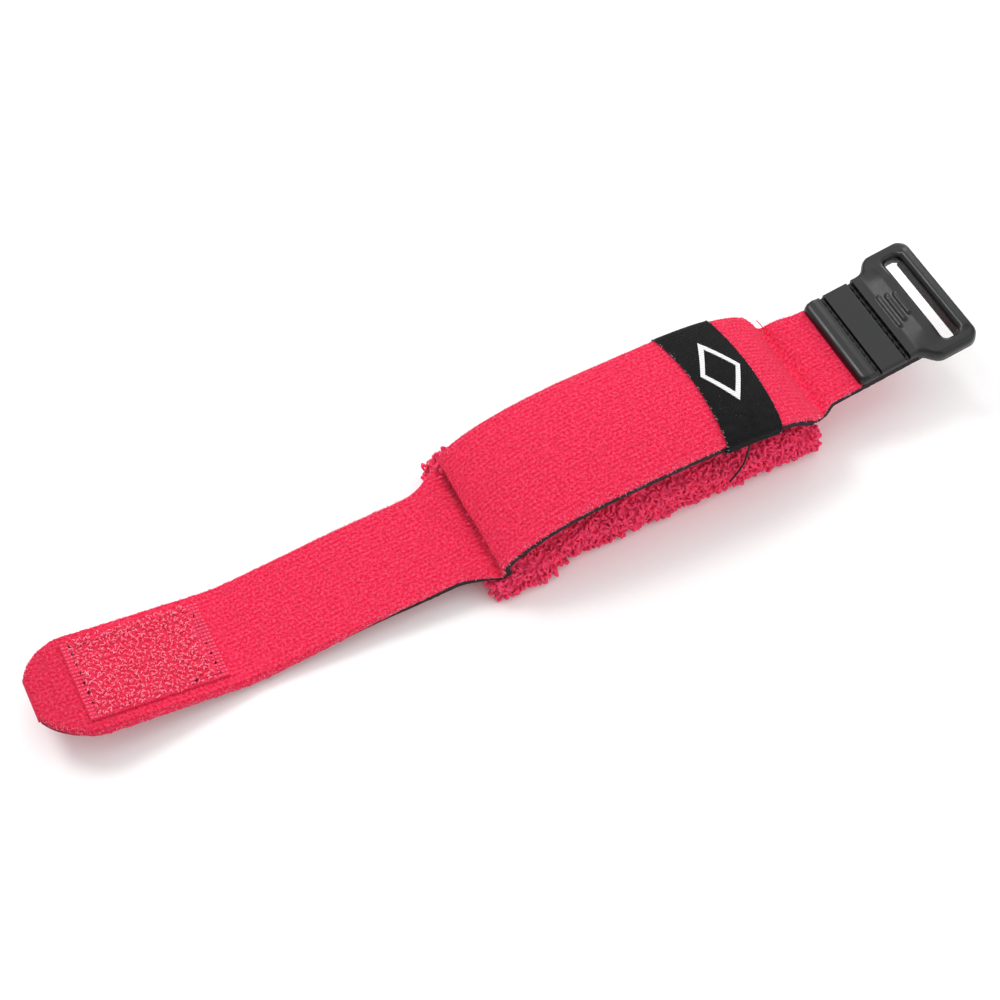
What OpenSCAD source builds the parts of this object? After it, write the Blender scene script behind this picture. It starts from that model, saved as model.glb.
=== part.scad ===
// Padded wrap strap: a foam-laminated knit strap arched over a terry pad,
// with a hook patch on its tail and a moulded slot buckle on its other end.
// X runs along the strap towards the buckle, Z is up, and the origin is the
// centre of the pad's flat underside.

/* [Strap] */
// Width of the two narrow ends
strap_w = 25.4; // [24:0.2:26]
// Width of the middle, over the pad
middle_w = 33.2; // [31:0.2:34]
// Thickness of the knit face
face_t = 0.4; // [0.3:0.05:0.5]
// Thickness of the black foam core
foam_t = 1.7; // [1.4:0.1:1.9]
// Thickness of the knit lining
lining_t = 0.4; // [0.3:0.05:0.5]

/* [Arch over the pad] */
// Height of the face at the tail-side seam
tail_seam_z = 9.2; // [9:0.1:10]
// Height of the face at the buckle-side seam
buckle_seam_z = 11.2; // [10.8:0.1:12]
// Rise of the arch above the line between the seams
arch_rise = 11.6; // [11:0.1:12.5]
// Squareness of the arch towards the tail
arch_power_tail = 2.6; // [2.4:0.1:3]
// Squareness of the arch towards the buckle
arch_power_buckle = 3.4; // [3:0.1:3.8]

/* [Terry pad] */
// Length of the pad
pad_len = 89; // [86:0.5:90]
// Width of the pad
pad_w = 34.4; // [33:0.2:35]
// Thickness of the pad in the middle
pad_mid_t = 11.6; // [10:0.2:12]
// Thickness of the terry cloth
terry_t = 2.2; // [1.8:0.1:2.4]

/* [Tail] */
// Distance between the tail's two bends
tail_len = 52; // [50:0.5:54]
// Length of the tip, past the fold
tip_len = 44.4; // [43:0.2:46]
// Height of the face at the fold
fold_z = 3.4; // [3.3:0.1:4]
// Height of the face at the end of the tip
tip_z = 12; // [10:0.5:13]
// Corner cut of the tip, along the strap
tip_cut_x = 9.5; // [8:0.5:11]
// Corner cut of the tip, across the strap
tip_cut_y = 7.2; // [6:0.2:8]

/* [Hook patch] */
// Length of the hook tape
tape_len = 30.4; // [29:0.2:31]
// Width of the hook tape
tape_w = 20; // [19:0.2:20.6]
// Thickness of the tape's woven ground
tape_t = 0.7; // [0.5:0.1:0.8]
// Height of the hooks above the ground
hook_h = 1.1; // [0.9:0.1:1.2]

/* [Label] */
// Width of the folded woven label
label_len = 14.4; // [13:0.2:15]
// Thickness of the label
label_t = 0.4; // [0.3:0.05:0.5]

/* [Buckle] */
// Slope of the buckle end
buckle_slope = 9; // [7:0.5:10]
// Outer width of the buckle's frame
frame_w = 33; // [32.4:0.2:33.6]
// Thickness of the buckle's frame
frame_t = 3.5; // [3.2:0.1:3.8]
// Length of the slot, for the strap's width
slot_w = 26; // [25.8:0.1:26.4]
// Width of the slot, for the strap's thickness
slot_open = 4.8; // [4.8:0.1:5]

/* [Hidden] */

KNIT = "#E8325F";
LINING = "#D92B55";
TERRY = "#C8264E";
FOAM = "#2A2829";
LABEL_BLACK = "#1D1E1F";
MOTIF_WHITE = "#ECE9EC";
PLASTIC = "#3A3B3D";
HOOK_PINK = "#F4496D";
THREAD_PINK = "#B81F45";

strap_t = face_t + foam_t + lining_t;
tail_seam_x = -41.6;
buckle_seam_x = 43.4;
tail_bend_x = -46;
buckle_bend_x = 47.5;
curl_x = tail_bend_x - tail_len / 2;
fold_x = tail_bend_x - tail_len;
tip_x = fold_x - tip_len;
tail_bend_z = 7.4;
buckle_bend_z = 13.6;
// Gap in the laminate at a bend that goes both ways, and at one that goes one way
flex_gap = 1.5;
fold_gap = 0.6;
// The flares that join the narrow ends to the wide middle
tail_flare_x = -50;
buckle_flare_x = 40.4;
flare_power = 1.6;
flare_steps = 5;
arch_steps = 24;
over = 60;
stitch_r = 0.3;

// ---- Side profile: lists of [x, z] along the face, with x rising ----

arch_mid = (tail_seam_x + buckle_seam_x) / 2;
arch_half = (buckle_seam_x - tail_seam_x) / 2;

function seam_line_z(x) =
    tail_seam_z + (buckle_seam_z - tail_seam_z) * (x - tail_seam_x) / (2 * arch_half);

function arch_z(x) =
    let (u = (x - arch_mid) / arch_half,
         p = u < 0 ? arch_power_tail : arch_power_buckle)
    seam_line_z(x) + arch_rise * pow(max(0, 1 - pow(abs(u), p)), 0.6);

function tail_z(x) =
    tail_bend_z + (tail_bend_z - fold_z) * (x - tail_bend_x) / tail_len;

function tip_face_z(x) = fold_z + (tip_z - fold_z) * (fold_x - x) / tip_len;

function to_tail_seam_z(x) =
    tail_bend_z + (tail_seam_z - tail_bend_z) * (x - tail_bend_x) / (tail_seam_x - tail_bend_x);

middle_start = tail_bend_x + flex_gap / 2;
middle_end = buckle_bend_x - flex_gap / 2;
// The strap climbs steeply out of the buckle-side seam, then takes the end's slope
climb_x = buckle_bend_x - 1.7;

function end_slope_z(x) = buckle_bend_z + tan(buckle_slope) * (x - buckle_bend_x);

arch_line = [
    for (i = [0 : arch_steps])
        let (x = arch_mid - arch_half * cos(180 * i / arch_steps)) [x, arch_z(x)]
];
middle_line = concat(
    [[middle_start, to_tail_seam_z(middle_start)]],
    arch_line,
    [[climb_x, end_slope_z(climb_x)], [middle_end, end_slope_z(middle_end)]]
);

function tail_line(from_x, to_x) = [[from_x, tail_z(from_x)], [to_x, tail_z(to_x)]];
function tip_line(from_x, to_x) = [[from_x, tip_face_z(from_x)], [to_x, tip_face_z(to_x)]];
function arch_part(from_x, to_x, steps) = [
    for (i = [0 : steps]) let (x = from_x + (to_x - from_x) * i / steps) [x, arch_z(x)]
];

// ---- A layer of the laminate: the profile offset down by d0 and by d1 ----

function side_normal(line, i) =
    let (d = line[i + 1] - line[i]) [-d[1], d[0]] / norm(d);

function corner_normal(line, i) =
    i == 0 ? side_normal(line, 0)
    : i == len(line) - 1 ? side_normal(line, i - 1)
    : let (a = side_normal(line, i - 1), b = side_normal(line, i)) (a + b) / (1 + a * b);

function offset_line(line, d) =
    [for (i = [0 : len(line) - 1]) line[i] - d * corner_normal(line, i)];

function reversed(list) = [for (i = [len(list) - 1 : -1 : 0]) list[i]];

module band(line, d0, d1, width) {
    rotate([90, 0, 0])
        linear_extrude(width, center = true)
            polygon(concat(offset_line(line, d0), reversed(offset_line(line, d1))));
}

// ---- Plan outlines ----

function flare_half(t) = strap_w / 2 + (middle_w - strap_w) / 2 * pow(t, flare_power);

tail_side = [
    for (i = [0 : flare_steps])
        let (t = i / flare_steps)
        [tail_flare_x + (tail_seam_x - tail_flare_x) * t, flare_half(t)]
];
buckle_side = [
    for (i = [0 : flare_steps])
        let (t = 1 - i / flare_steps)
        [buckle_bend_x + (buckle_flare_x - buckle_bend_x) * t, flare_half(t)]
];
strap_half_outline = concat(
    [[fold_x - over, strap_w / 2]], tail_side, buckle_side,
    [[buckle_bend_x + over, strap_w / 2]]
);

function mirrored(points) = [for (p = reversed(points)) [p[0], -p[1]]];

module strap_plan() {
    translate([0, 0, -over])
        linear_extrude(2 * over)
            polygon(concat(strap_half_outline, mirrored(strap_half_outline)));
}

tip_half_outline = [
    [tip_x, strap_w / 2 - tip_cut_y - 0.8],
    [tip_x + 0.9, strap_w / 2 - tip_cut_y + 1],
    [tip_x + tip_cut_x - 2.2, strap_w / 2 - 0.7],
    [tip_x + tip_cut_x, strap_w / 2],
    [fold_x, strap_w / 2]
];

module tip_plan() {
    translate([0, 0, -over])
        linear_extrude(2 * over)
            polygon(concat(tip_half_outline, mirrored(tip_half_outline)));
}

// ---- Middle of the strap, arched over the pad ----

module middle_layer(d0, d1) {
    intersection() {
        band(middle_line, d0, d1, over);
        strap_plan();
    }
}

module middle_face() { color(KNIT) middle_layer(0, face_t); }
module middle_foam() { color(FOAM) middle_layer(face_t, face_t + foam_t); }
module middle_lining() { color(LINING) middle_layer(face_t + foam_t, strap_t); }

// ---- Terry pad ----

pad_round = 4.5;
pad_end_drop = strap_t + 0.1;
pad_steps = 16;

function pad_top_z(x, inset) =
    let (half = pad_len / 2 - inset, u = min(1, abs(x) / half))
    seam_line_z(x) - pad_end_drop - inset
    + (pad_mid_t - (tail_seam_z + buckle_seam_z) / 2 + pad_end_drop)
    * pow(1 - u * u, 0.7);

module pad_form(inset) {
    half = pad_len / 2 - inset;
    top = [
        for (i = [0 : pad_steps])
            let (x = half * cos(180 * i / pad_steps)) [x, pad_top_z(x, inset)]
    ];
    round_r = pad_round - inset;
    height = pad_mid_t - 2 * inset;
    intersection() {
        rotate([90, 0, 0])
            linear_extrude(pad_w, center = true)
                polygon(concat([[-half + 1, inset], [half - 1, inset]],
                               [[half, inset + 1]], top, [[-half, inset + 1]]));
        // Rounded long edges, top and bottom
        union() {
            translate([-pad_len / 2, inset - pad_w / 2 + round_r, inset])
                cube([pad_len, pad_w - 2 * inset - 2 * round_r, height]);
            translate([-pad_len / 2, inset - pad_w / 2, inset + round_r])
                cube([pad_len, pad_w - 2 * inset, height - 2 * round_r]);
            for (side = [-1, 1], z = [inset + round_r, inset + height - round_r])
                translate([-pad_len / 2, side * (pad_w / 2 - inset - round_r), z])
                    rotate([0, 90, 0])
                        cylinder(pad_len, r = round_r, $fn = 40);
        }
    }
}

module terry_cover() {
    color(TERRY)
        difference() {
            pad_form(0);
            pad_form(terry_t);
            band(middle_line, -over / 3, strap_t, over);
        }
}

module pad_core() { color("#3A3536") pad_form(terry_t); }

// ---- Stitches: short rods in a row, from a to b ----

module stitch_row(a, b, pitch, r) {
    run = norm(b - a);
    count = max(1, floor(run / pitch));
    turn = atan2(b[1] - a[1], b[0] - a[0]);
    for (i = [0 : count - 1])
        translate(a + (b - a) * (i + 0.5) / count)
            rotate([0, 0, turn])
                rotate([0, 90, 0])
                    cylinder(pitch * 0.7, r = r, center = true, $fn = 16);
}

module seam_stitches(x, z) {
    color(THREAD_PINK)
        translate([x, 0, z + stitch_r / 2])
            stitch_row([0, -middle_w / 2 + 1, 0], [0, middle_w / 2 - 1, 0], 2.6, stitch_r);
}

module tail_seam_thread() { seam_stitches(tail_seam_x, tail_seam_z); }
module buckle_seam_thread() {
    color(THREAD_PINK)
        translate([buckle_seam_x, 0, buckle_seam_z + stitch_r / 2])
            stitch_row([0, -strap_w / 2, 0], [0, strap_w / 2, 0], 2.6, stitch_r);
}

// ---- Woven label, a band folded round the strap ----

label_x = 15.8;
label_line = arch_part(label_x, label_x + label_len, 6);
motif_x = label_x + label_len / 2;
motif_y = 1.5;
motif_long = 8;
motif_short = 4.4;
motif_stroke = 0.9;

module woven_label() {
    color(LABEL_BLACK)
        difference() {
            band(label_line, -label_t, strap_t + label_t, middle_w + 2 * label_t);
            band(middle_line, 0, strap_t, middle_w);
        }
}

// A plain upright lozenge, drawn as an outline
module lozenge(long, short) {
    polygon([[0, long], [short, 0], [0, -long], [-short, 0]]);
}

module label_motif() {
    color(MOTIF_WHITE)
        intersection() {
            band(label_line, -label_t - 0.25, -label_t, middle_w);
            translate([motif_x, motif_y, 0])
                linear_extrude(over)
                    difference() {
                        lozenge(motif_long, motif_short);
                        lozenge(motif_long - 2 * motif_stroke, motif_short - motif_stroke);
                    }
        }
}

// The loose end of the label's sewing thread, hanging at the near edge
thread_route = [
    [21.5, -middle_w / 2 - 0.5, 18.6],
    [20.4, -middle_w / 2 - 1.6, 15.6],
    [18.4, -middle_w / 2 - 2.4, 13.0],
    [15.8, -middle_w / 2 - 2.8, 10.8]
];
thread_r = 0.25;

module label_thread_end() {
    color(LABEL_BLACK)
        for (i = [0 : len(thread_route) - 2])
            hull() {
                translate(thread_route[i]) sphere(thread_r, $fn = 8);
                translate(thread_route[i + 1]) sphere(thread_r, $fn = 8);
            }
}

// ---- Tail, in two straight lengths, then the tip with its hook patch ----

module strap_layer(line, d0, d1) {
    intersection() {
        band(line, d0, d1, over);
        strap_plan();
    }
}

tail_inner_line = tail_line(curl_x + fold_gap / 2, tail_bend_x - flex_gap / 2);
tail_outer_line = tail_line(fold_x + fold_gap / 2, curl_x - fold_gap / 2);
tip_strap_line = tip_line(tip_x - 2, fold_x - fold_gap / 2);

module tail_inner_face() { color(KNIT) strap_layer(tail_inner_line, 0, face_t); }
module tail_inner_foam() { color(FOAM) strap_layer(tail_inner_line, face_t, face_t + foam_t); }
module tail_inner_lining() { color(LINING) strap_layer(tail_inner_line, face_t + foam_t, strap_t); }

module tail_outer_face() { color(KNIT) strap_layer(tail_outer_line, 0, face_t); }
module tail_outer_foam() { color(FOAM) strap_layer(tail_outer_line, face_t, face_t + foam_t); }
module tail_outer_lining() { color(LINING) strap_layer(tail_outer_line, face_t + foam_t, strap_t); }

module tip_layer(d0, d1) {
    intersection() {
        band(tip_strap_line, d0, d1, over);
        tip_plan();
    }
}

module tip_face() { color(KNIT) tip_layer(0, face_t); }
module tip_foam() { color(FOAM) tip_layer(face_t, face_t + foam_t); }
module tip_lining() { color(LINING) tip_layer(face_t + foam_t, strap_t); }

// The woven selvages at the tape's two ends carry no hooks
selvage = 2.2;
tape_from_x = -133;
tape_to_x = tape_from_x + tape_len;
hook_edge = 0.5;

module hook_tape() {
    color(HOOK_PINK) band(tip_line(tape_from_x, tape_to_x), -tape_t, 0, tape_w);
}

module hook_field() {
    color(HOOK_PINK)
        band(tip_line(tape_from_x + selvage, tape_to_x - selvage),
             -tape_t - hook_h, -tape_t, tape_w - 2 * hook_edge);
}

// Box stitch along the tape's four sides, on the selvages and beside the hooks
module hook_tape_thread() {
    tilt = atan((tip_z - fold_z) / tip_len);
    x0 = tape_from_x + selvage / 2;
    x1 = tape_to_x - selvage / 2;
    y0 = tape_w / 2 - 1.6;
    color(THREAD_PINK)
        for (x = [x0, x1])
            translate([x, 0, tip_face_z(x) + tape_t + stitch_r / 2])
                rotate([0, tilt, 0])
                    stitch_row([0, -y0, 0], [0, y0, 0], 2.6, stitch_r);
}

// ---- Buckle end, laid out along its own slope from the bend ----

end_strap_len = 25;
tongue_from = 5.6;
shoulder = 23.6;
slot_from = 29.4;
slot_to = slot_from + slot_open;
outer_bar = 3.2;
frame_end = slot_to + outer_bar;
frame_low = -1.2;
frame_top = frame_low + frame_t;
groove_depth = 0.9;
panel_top = 1.7;
bead_top = 2.1;
saddle_top = 2.9;
groove_w = 1.3;
groove_inner = 10.9;
groove_outer = 19.3;
tongue_w = strap_w + 0.4;

module at_buckle() {
    translate([buckle_bend_x, 0, buckle_bend_z])
        rotate([0, -buckle_slope, 0])
            children();
}

module end_layer(d0, d1) {
    at_buckle()
        translate([flex_gap / 2, -strap_w / 2, -d1])
            cube([end_strap_len - flex_gap / 2, strap_w, d1 - d0]);
}

module buckle_end_face() { color(KNIT) end_layer(0, face_t); }
module buckle_end_foam() { color(FOAM) end_layer(face_t, face_t + foam_t); }
module buckle_end_lining() { color(LINING) end_layer(face_t + foam_t, strap_t); }

// Side profile of the tongue: end bead, stitch groove, panel, groove, saddle
tongue_profile = [
    [tongue_from, 0], [tongue_from, 0.9], [tongue_from + 0.6, 1.6],
    [tongue_from + 1.8, bead_top], [groove_inner - 2.2, bead_top],
    [groove_inner - 0.9, 1.5], [groove_inner - groove_w / 2, panel_top - groove_depth],
    [groove_inner + groove_w / 2, panel_top - groove_depth],
    [groove_inner + groove_w / 2, panel_top],
    [groove_outer - groove_w / 2, panel_top],
    [groove_outer - groove_w / 2, panel_top - groove_depth],
    [groove_outer + groove_w / 2, panel_top - groove_depth],
    [groove_outer + groove_w / 2, panel_top + 0.3],
    [groove_outer + 2.4, panel_top + 0.4], [shoulder, panel_top + 0.8],
    [slot_from - 3, saddle_top - 0.1], [slot_from - 1.4, saddle_top],
    [slot_from - 0.4, saddle_top - 0.4], [slot_from, saddle_top - 1],
    [slot_from, frame_low + 1], [slot_from - 1, frame_low],
    [end_strap_len + 0.3, frame_low], [end_strap_len + 0.3, 0]
];
corner_r = 3.4;
shoulder_r = 2.2;

// Plan of the frame: rounded outer corners, and a concave shoulder to the neck
module frame_plan() {
    neck = tongue_w / 2;
    half = frame_w / 2;
    difference() {
        union() {
            translate([shoulder, -neck]) square([frame_end - shoulder, 2 * neck]);
            hull_free_frame(half);
        }
        translate([slot_from, -slot_w / 2]) square([slot_open, slot_w]);
    }
}

module hull_free_frame(half) {
    from = shoulder + shoulder_r;
    translate([from, -half + shoulder_r])
        square([frame_end - from, 2 * half - 2 * shoulder_r]);
    translate([from + shoulder_r, -half]) square([frame_end - corner_r - from - shoulder_r, 2 * half]);
    translate([from, -half + corner_r]) square([frame_end - from, 2 * (half - corner_r)]);
    for (side = [-1, 1]) {
        translate([frame_end - corner_r, side * (half - corner_r)])
            circle(corner_r, $fn = 48);
        translate([from + shoulder_r, side * (half - shoulder_r)])
            circle(shoulder_r, $fn = 36);
    }
}

module slot_buckle() {
    color(PLASTIC)
        at_buckle() {
            rotate([90, 0, 0])
                linear_extrude(tongue_w, center = true)
                    polygon(tongue_profile);
            difference() {
                translate([0, 0, frame_low]) linear_extrude(frame_t) frame_plan();
                // The strap's end lies under the tongue
                translate([0, -strap_w / 2 - 0.3, -strap_t])
                    cube([end_strap_len + 0.3, strap_w + 0.6, strap_t]);
                // The outer bar is round
                translate([slot_to, -over / 2, -over / 2])
                    cube([frame_end, over, over]);
            }
            intersection() {
                translate([0, 0, frame_low]) linear_extrude(frame_t) frame_plan();
                translate([(slot_to + frame_end) / 2, 0, frame_low + frame_t / 2])
                    rotate([90, 0, 0])
                        cylinder(frame_w, r = outer_bar / 2 + 0.15, center = true, $fn = 40);
            }
        }
}

module buckle_stitches(u) {
    color(LABEL_BLACK)
        at_buckle()
            translate([u, 0, panel_top - groove_depth + stitch_r / 2])
                stitch_row([0, -strap_w / 2 + 0.8, 0], [0, strap_w / 2 - 0.8, 0], 2.4, stitch_r);
}

module buckle_thread_inner() { buckle_stitches(groove_inner); }
module buckle_thread_outer() { buckle_stitches(groove_outer); }

middle_face();
middle_foam();
middle_lining();
terry_cover();
pad_core();
tail_seam_thread();
buckle_seam_thread();
woven_label();
label_motif();
label_thread_end();
tail_inner_face();
tail_inner_foam();
tail_inner_lining();
tail_outer_face();
tail_outer_foam();
tail_outer_lining();
tip_face();
tip_foam();
tip_lining();
hook_tape();
hook_field();
hook_tape_thread();
buckle_end_face();
buckle_end_foam();
buckle_end_lining();
slot_buckle();
buckle_thread_inner();
buckle_thread_outer();
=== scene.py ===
"""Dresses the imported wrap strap: knit laminate, terry pad, woven label, hook patch and buckle.

X runs along the strap towards the buckle, Y across it and Z up. Shapes are worked out in millimetres
and each finished mesh is scaled to metres.
"""

import math
import random
from bisect import bisect

import bmesh
import bpy
import numpy
from bpy.props import FloatProperty, FloatVectorProperty, IntProperty, PointerProperty
from mathutils import Matrix, Vector, noise


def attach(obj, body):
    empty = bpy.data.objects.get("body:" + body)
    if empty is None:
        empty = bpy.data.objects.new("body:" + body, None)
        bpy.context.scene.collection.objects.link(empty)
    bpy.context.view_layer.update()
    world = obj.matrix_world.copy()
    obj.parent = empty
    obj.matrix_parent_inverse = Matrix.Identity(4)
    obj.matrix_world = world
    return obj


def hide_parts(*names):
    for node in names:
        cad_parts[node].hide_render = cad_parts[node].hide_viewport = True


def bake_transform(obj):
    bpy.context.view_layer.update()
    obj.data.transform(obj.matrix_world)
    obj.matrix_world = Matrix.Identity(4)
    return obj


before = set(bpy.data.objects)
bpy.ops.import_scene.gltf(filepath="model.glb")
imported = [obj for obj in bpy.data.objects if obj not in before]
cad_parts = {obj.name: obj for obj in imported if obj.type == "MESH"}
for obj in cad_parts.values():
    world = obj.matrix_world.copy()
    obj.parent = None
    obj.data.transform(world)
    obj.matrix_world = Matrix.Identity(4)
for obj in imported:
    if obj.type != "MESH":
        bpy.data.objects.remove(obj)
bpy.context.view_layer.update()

bl_info = {
    "name": "Wrap Strap",
    "version": (1, 0, 0),
    "blender": (4, 5, 0),
    "location": "View3D > Sidebar > Wrap Strap",
    "description": "Builds a padded hook-and-loop wrap strap around its packed frame",
    "category": "Mesh",
}

MM = 0.001


def linear(hex_colour):
    """The linear red, green and blue of an sRGB hex value."""
    channels = [int(hex_colour[i:i + 2], 16) / 255 for i in (1, 3, 5)]
    return [c / 12.92 if c <= 0.04045 else ((c + 0.055) / 1.055) ** 2.4 for c in channels]


# ---- Sizes and colours -------------------------------------------------------------------------


class WrapStrapSizes(bpy.types.PropertyGroup):
    """Sizes that a maker would change."""

    strap_width: FloatProperty(
        name="Strap width", description="Width of the two narrow ends",
        default=0.0254, unit="LENGTH")
    middle_width: FloatProperty(
        name="Middle width", description="Width of the arched middle",
        default=0.0332, unit="LENGTH")
    rib_pitch: FloatProperty(
        name="Rib pitch", description="Distance between two ribs of the knit",
        default=0.0011, unit="LENGTH")
    rib_height: FloatProperty(
        name="Rib height", description="How far a rib stands above the groove beside it",
        default=0.00006, unit="LENGTH")
    yarn_radius: FloatProperty(
        name="Terry yarn radius", description="Radius of the pad's looped yarn",
        default=0.00032, unit="LENGTH")
    loop_height: FloatProperty(
        name="Terry loop height", description="How far a usual loop stands off its cloth",
        default=0.0019, unit="LENGTH")
    hook_pitch: FloatProperty(
        name="Hook pitch", description="Distance between two hooks of the patch",
        default=0.00077, unit="LENGTH")
    hook_height: FloatProperty(
        name="Hook height", description="Height of the hooks above the tape",
        default=0.0010, unit="LENGTH")
    stitch_pitch: FloatProperty(
        name="Stitch pitch", description="Length of one stitch and its gap",
        default=0.0026, unit="LENGTH")
    fibres: IntProperty(
        name="Fibres", description="Loose fibres on each 10 mm of the brushed tail's edge",
        default=150, min=0)


class WrapStrapColours(bpy.types.PropertyGroup):
    """Colours of the cloths, yarns and plastic."""

    knit: FloatVectorProperty(
        name="Knit", description="Brushed knit of the face", subtype="COLOR",
        default=linear("#EC1746"))
    lining: FloatVectorProperty(
        name="Lining", description="Knit of the back", subtype="COLOR",
        default=linear("#D22850"))
    foam: FloatVectorProperty(
        name="Foam", description="Foam core, at the cut edges", subtype="COLOR",
        default=linear("#2B2729"))
    terry: FloatVectorProperty(
        name="Terry", description="Looped cotton yarn of the pad", subtype="COLOR",
        default=linear("#FF4673"))
    hook_tape: FloatVectorProperty(
        name="Hook tape", description="Woven ground of the hook patch", subtype="COLOR",
        default=linear("#F5345A"))
    hooks: FloatVectorProperty(
        name="Hooks", description="Monofilament hooks", subtype="COLOR",
        default=linear("#FF8EA6"))
    label: FloatVectorProperty(
        name="Label", description="Black satin of the label", subtype="COLOR",
        default=linear("#0E0E10"))
    motif: FloatVectorProperty(
        name="Motif", description="White yarn of the label's motif", subtype="COLOR",
        default=linear("#F1EEF1"))
    pink_thread: FloatVectorProperty(
        name="Pink thread", description="Sewing thread in the cloth", subtype="COLOR",
        default=linear("#D42A50"))
    plastic: FloatVectorProperty(
        name="Plastic", description="Moulded plastic of the buckle", subtype="COLOR",
        default=linear("#08090A"))


def sizes():
    return bpy.context.scene.wrap_strap_sizes


def colours():
    return bpy.context.scene.wrap_strap_colours


def mm(metres):
    return metres / MM


# ---- The strap's side profile, as the frame draws it --------------------------------------------

FACE_T = 0.4
FOAM_T = 1.7
LINING_T = 0.4
STRAP_T = FACE_T + FOAM_T + LINING_T
TIP_X = -142.4
TIP_Z = 12.0
FOLD_X = -98.0
FOLD_Z = 3.4
CURL_X = -72.0
TAIL_BEND_X = -46.0
TAIL_BEND_Z = 7.4
TAIL_SEAM_X = -41.6
TAIL_SEAM_Z = 9.2
BUCKLE_SEAM_X = 43.4
BUCKLE_SEAM_Z = 11.2
CLIMB_X = 45.8
BUCKLE_BEND_X = 47.5
BUCKLE_BEND_Z = 13.6
BUCKLE_SLOPE = math.radians(9)
END_STRAP = 25.0
ARCH_RISE = 11.6
ARCH_MID = (TAIL_SEAM_X + BUCKLE_SEAM_X) / 2
ARCH_HALF = (BUCKLE_SEAM_X - TAIL_SEAM_X) / 2
TAIL_FLARE_X = -50.0
BUCKLE_FLARE_X = 40.4


def seam_line_z(x):
    return TAIL_SEAM_Z + (BUCKLE_SEAM_Z - TAIL_SEAM_Z) * (x - TAIL_SEAM_X) / (2 * ARCH_HALF)


def arch_z(x):
    u = (x - ARCH_MID) / ARCH_HALF
    power = 2.6 if u < 0 else 3.4
    return seam_line_z(x) + ARCH_RISE * max(0.0, 1 - abs(u) ** power) ** 0.6


def end_slope_z(x):
    return BUCKLE_BEND_Z + math.tan(BUCKLE_SLOPE) * (x - BUCKLE_BEND_X)


def smoothstep(t):
    t = min(max(t, 0.0), 1.0)
    return t * t * (3 - 2 * t)


class StrapLine:
    """The face's side profile, as points (x, z) an even step apart, by length from the tip."""

    STEP = 0.5

    def __init__(self):
        arch = [ARCH_MID - ARCH_HALF * math.cos(math.pi * i / 160) for i in range(161)]
        end_x = BUCKLE_BEND_X + END_STRAP * math.cos(BUCKLE_SLOPE)
        corners = (
            [Vector((TIP_X, TIP_Z)), Vector((FOLD_X, FOLD_Z)), Vector((TAIL_BEND_X, TAIL_BEND_Z))]
            + [Vector((x, arch_z(x))) for x in arch]
            + [Vector((CLIMB_X, end_slope_z(CLIMB_X))), Vector((end_x, end_slope_z(end_x)))]
        )
        self.points = self.even(corners)
        # The soft tail bends gently; the sewn middle keeps its creases
        for sweep in range(40):
            self.smooth(-200, TAIL_BEND_X + 2)
        self.smooth(TAIL_BEND_X, BUCKLE_BEND_X)
        for sweep in range(16):
            self.smooth(BUCKLE_SEAM_X - 8, BUCKLE_BEND_X + 1)
        self.points = self.even(self.points)
        self.lengths = [self.STEP * i for i in range(len(self.points))]

    def even(self, corners):
        lengths = [0.0]
        for a, b in zip(corners, corners[1:]):
            lengths.append(lengths[-1] + (b - a).length)
        points = []
        for i in range(int(lengths[-1] / self.STEP) + 1):
            s = i * self.STEP
            k = min(bisect(lengths, s) - 1, len(corners) - 2)
            share = (s - lengths[k]) / (lengths[k + 1] - lengths[k])
            points.append(corners[k].lerp(corners[k + 1], share))
        return points

    def smooth(self, from_x, to_x):
        old = self.points
        inner = [
            (a + 2 * b + c) / 4 if from_x < b.x < to_x else b
            for a, b, c in zip(old, old[1:], old[2:])
        ]
        self.points = [old[0]] + inner + [old[-1]]

    def point(self, s):
        i = min(max(int(s / self.STEP), 0), len(self.points) - 2)
        return self.points[i].lerp(self.points[i + 1], s / self.STEP - i)

    def at(self, s):
        """The point at length s, and the unit normal that points out of the face."""
        run = self.point(s + 0.6) - self.point(s - 0.6)
        return self.point(s), Vector((-run.y, run.x)).normalized()

    def length_at(self, x):
        """The length from the tip at which the strap reaches x."""
        i = max(1, next((k for k, p in enumerate(self.points) if p.x > x), len(self.points) - 1))
        a, b = self.points[i - 1], self.points[i]
        return self.STEP * (i - 1 + min((x - a.x) / (b.x - a.x), 1))


LINE = StrapLine()

# How the half width grows behind the end of the tip: (distance from the end, half width)
TIP_CORNERS = ((0, 4.6), (0.6, 6.2), (1.8, 8.1), (3.8, 9.9), (6.2, 11.4), (8.6, 12.4), (10.6, 12.7))


def half_width(x):
    """Half the strap's width at x: cut corners at the tip, narrow ends, flares to a wide middle."""
    narrow, wide = mm(sizes().strap_width) / 2, mm(sizes().middle_width) / 2
    if x < TIP_X + 12:
        near = [numpy.interp(x - TIP_X + d, *zip(*TIP_CORNERS)) for d in (-0.8, 0, 0.8)]
        return narrow - TIP_CORNERS[-1][1] + sum(near) / 3
    if x < TAIL_SEAM_X:
        t = (x - TAIL_FLARE_X) / (TAIL_SEAM_X - TAIL_FLARE_X)
    else:
        t = (BUCKLE_BEND_X - x) / (BUCKLE_BEND_X - BUCKLE_FLARE_X)
    return narrow + (wide - narrow) * min(max(t, 0.0), 1.0) ** 1.6


def crown(x, y):
    """How far the arched middle is domed across its width."""
    along = max(0.0, 1 - ((x - ARCH_MID) / ARCH_HALF) ** 2)
    return 1.7 * along * (1 - (y / half_width(x)) ** 2) - 0.5 * along


def pucker(x, y):
    """Small waves in the cloth beside the two sewn seams."""
    near = math.exp(-abs(x - TAIL_SEAM_X) / 5) + math.exp(-abs(x - BUCKLE_SEAM_X) / 4)
    return 0.28 * near * noise.noise(Vector((x / 9, y / 3.2, 2.0)))


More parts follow.
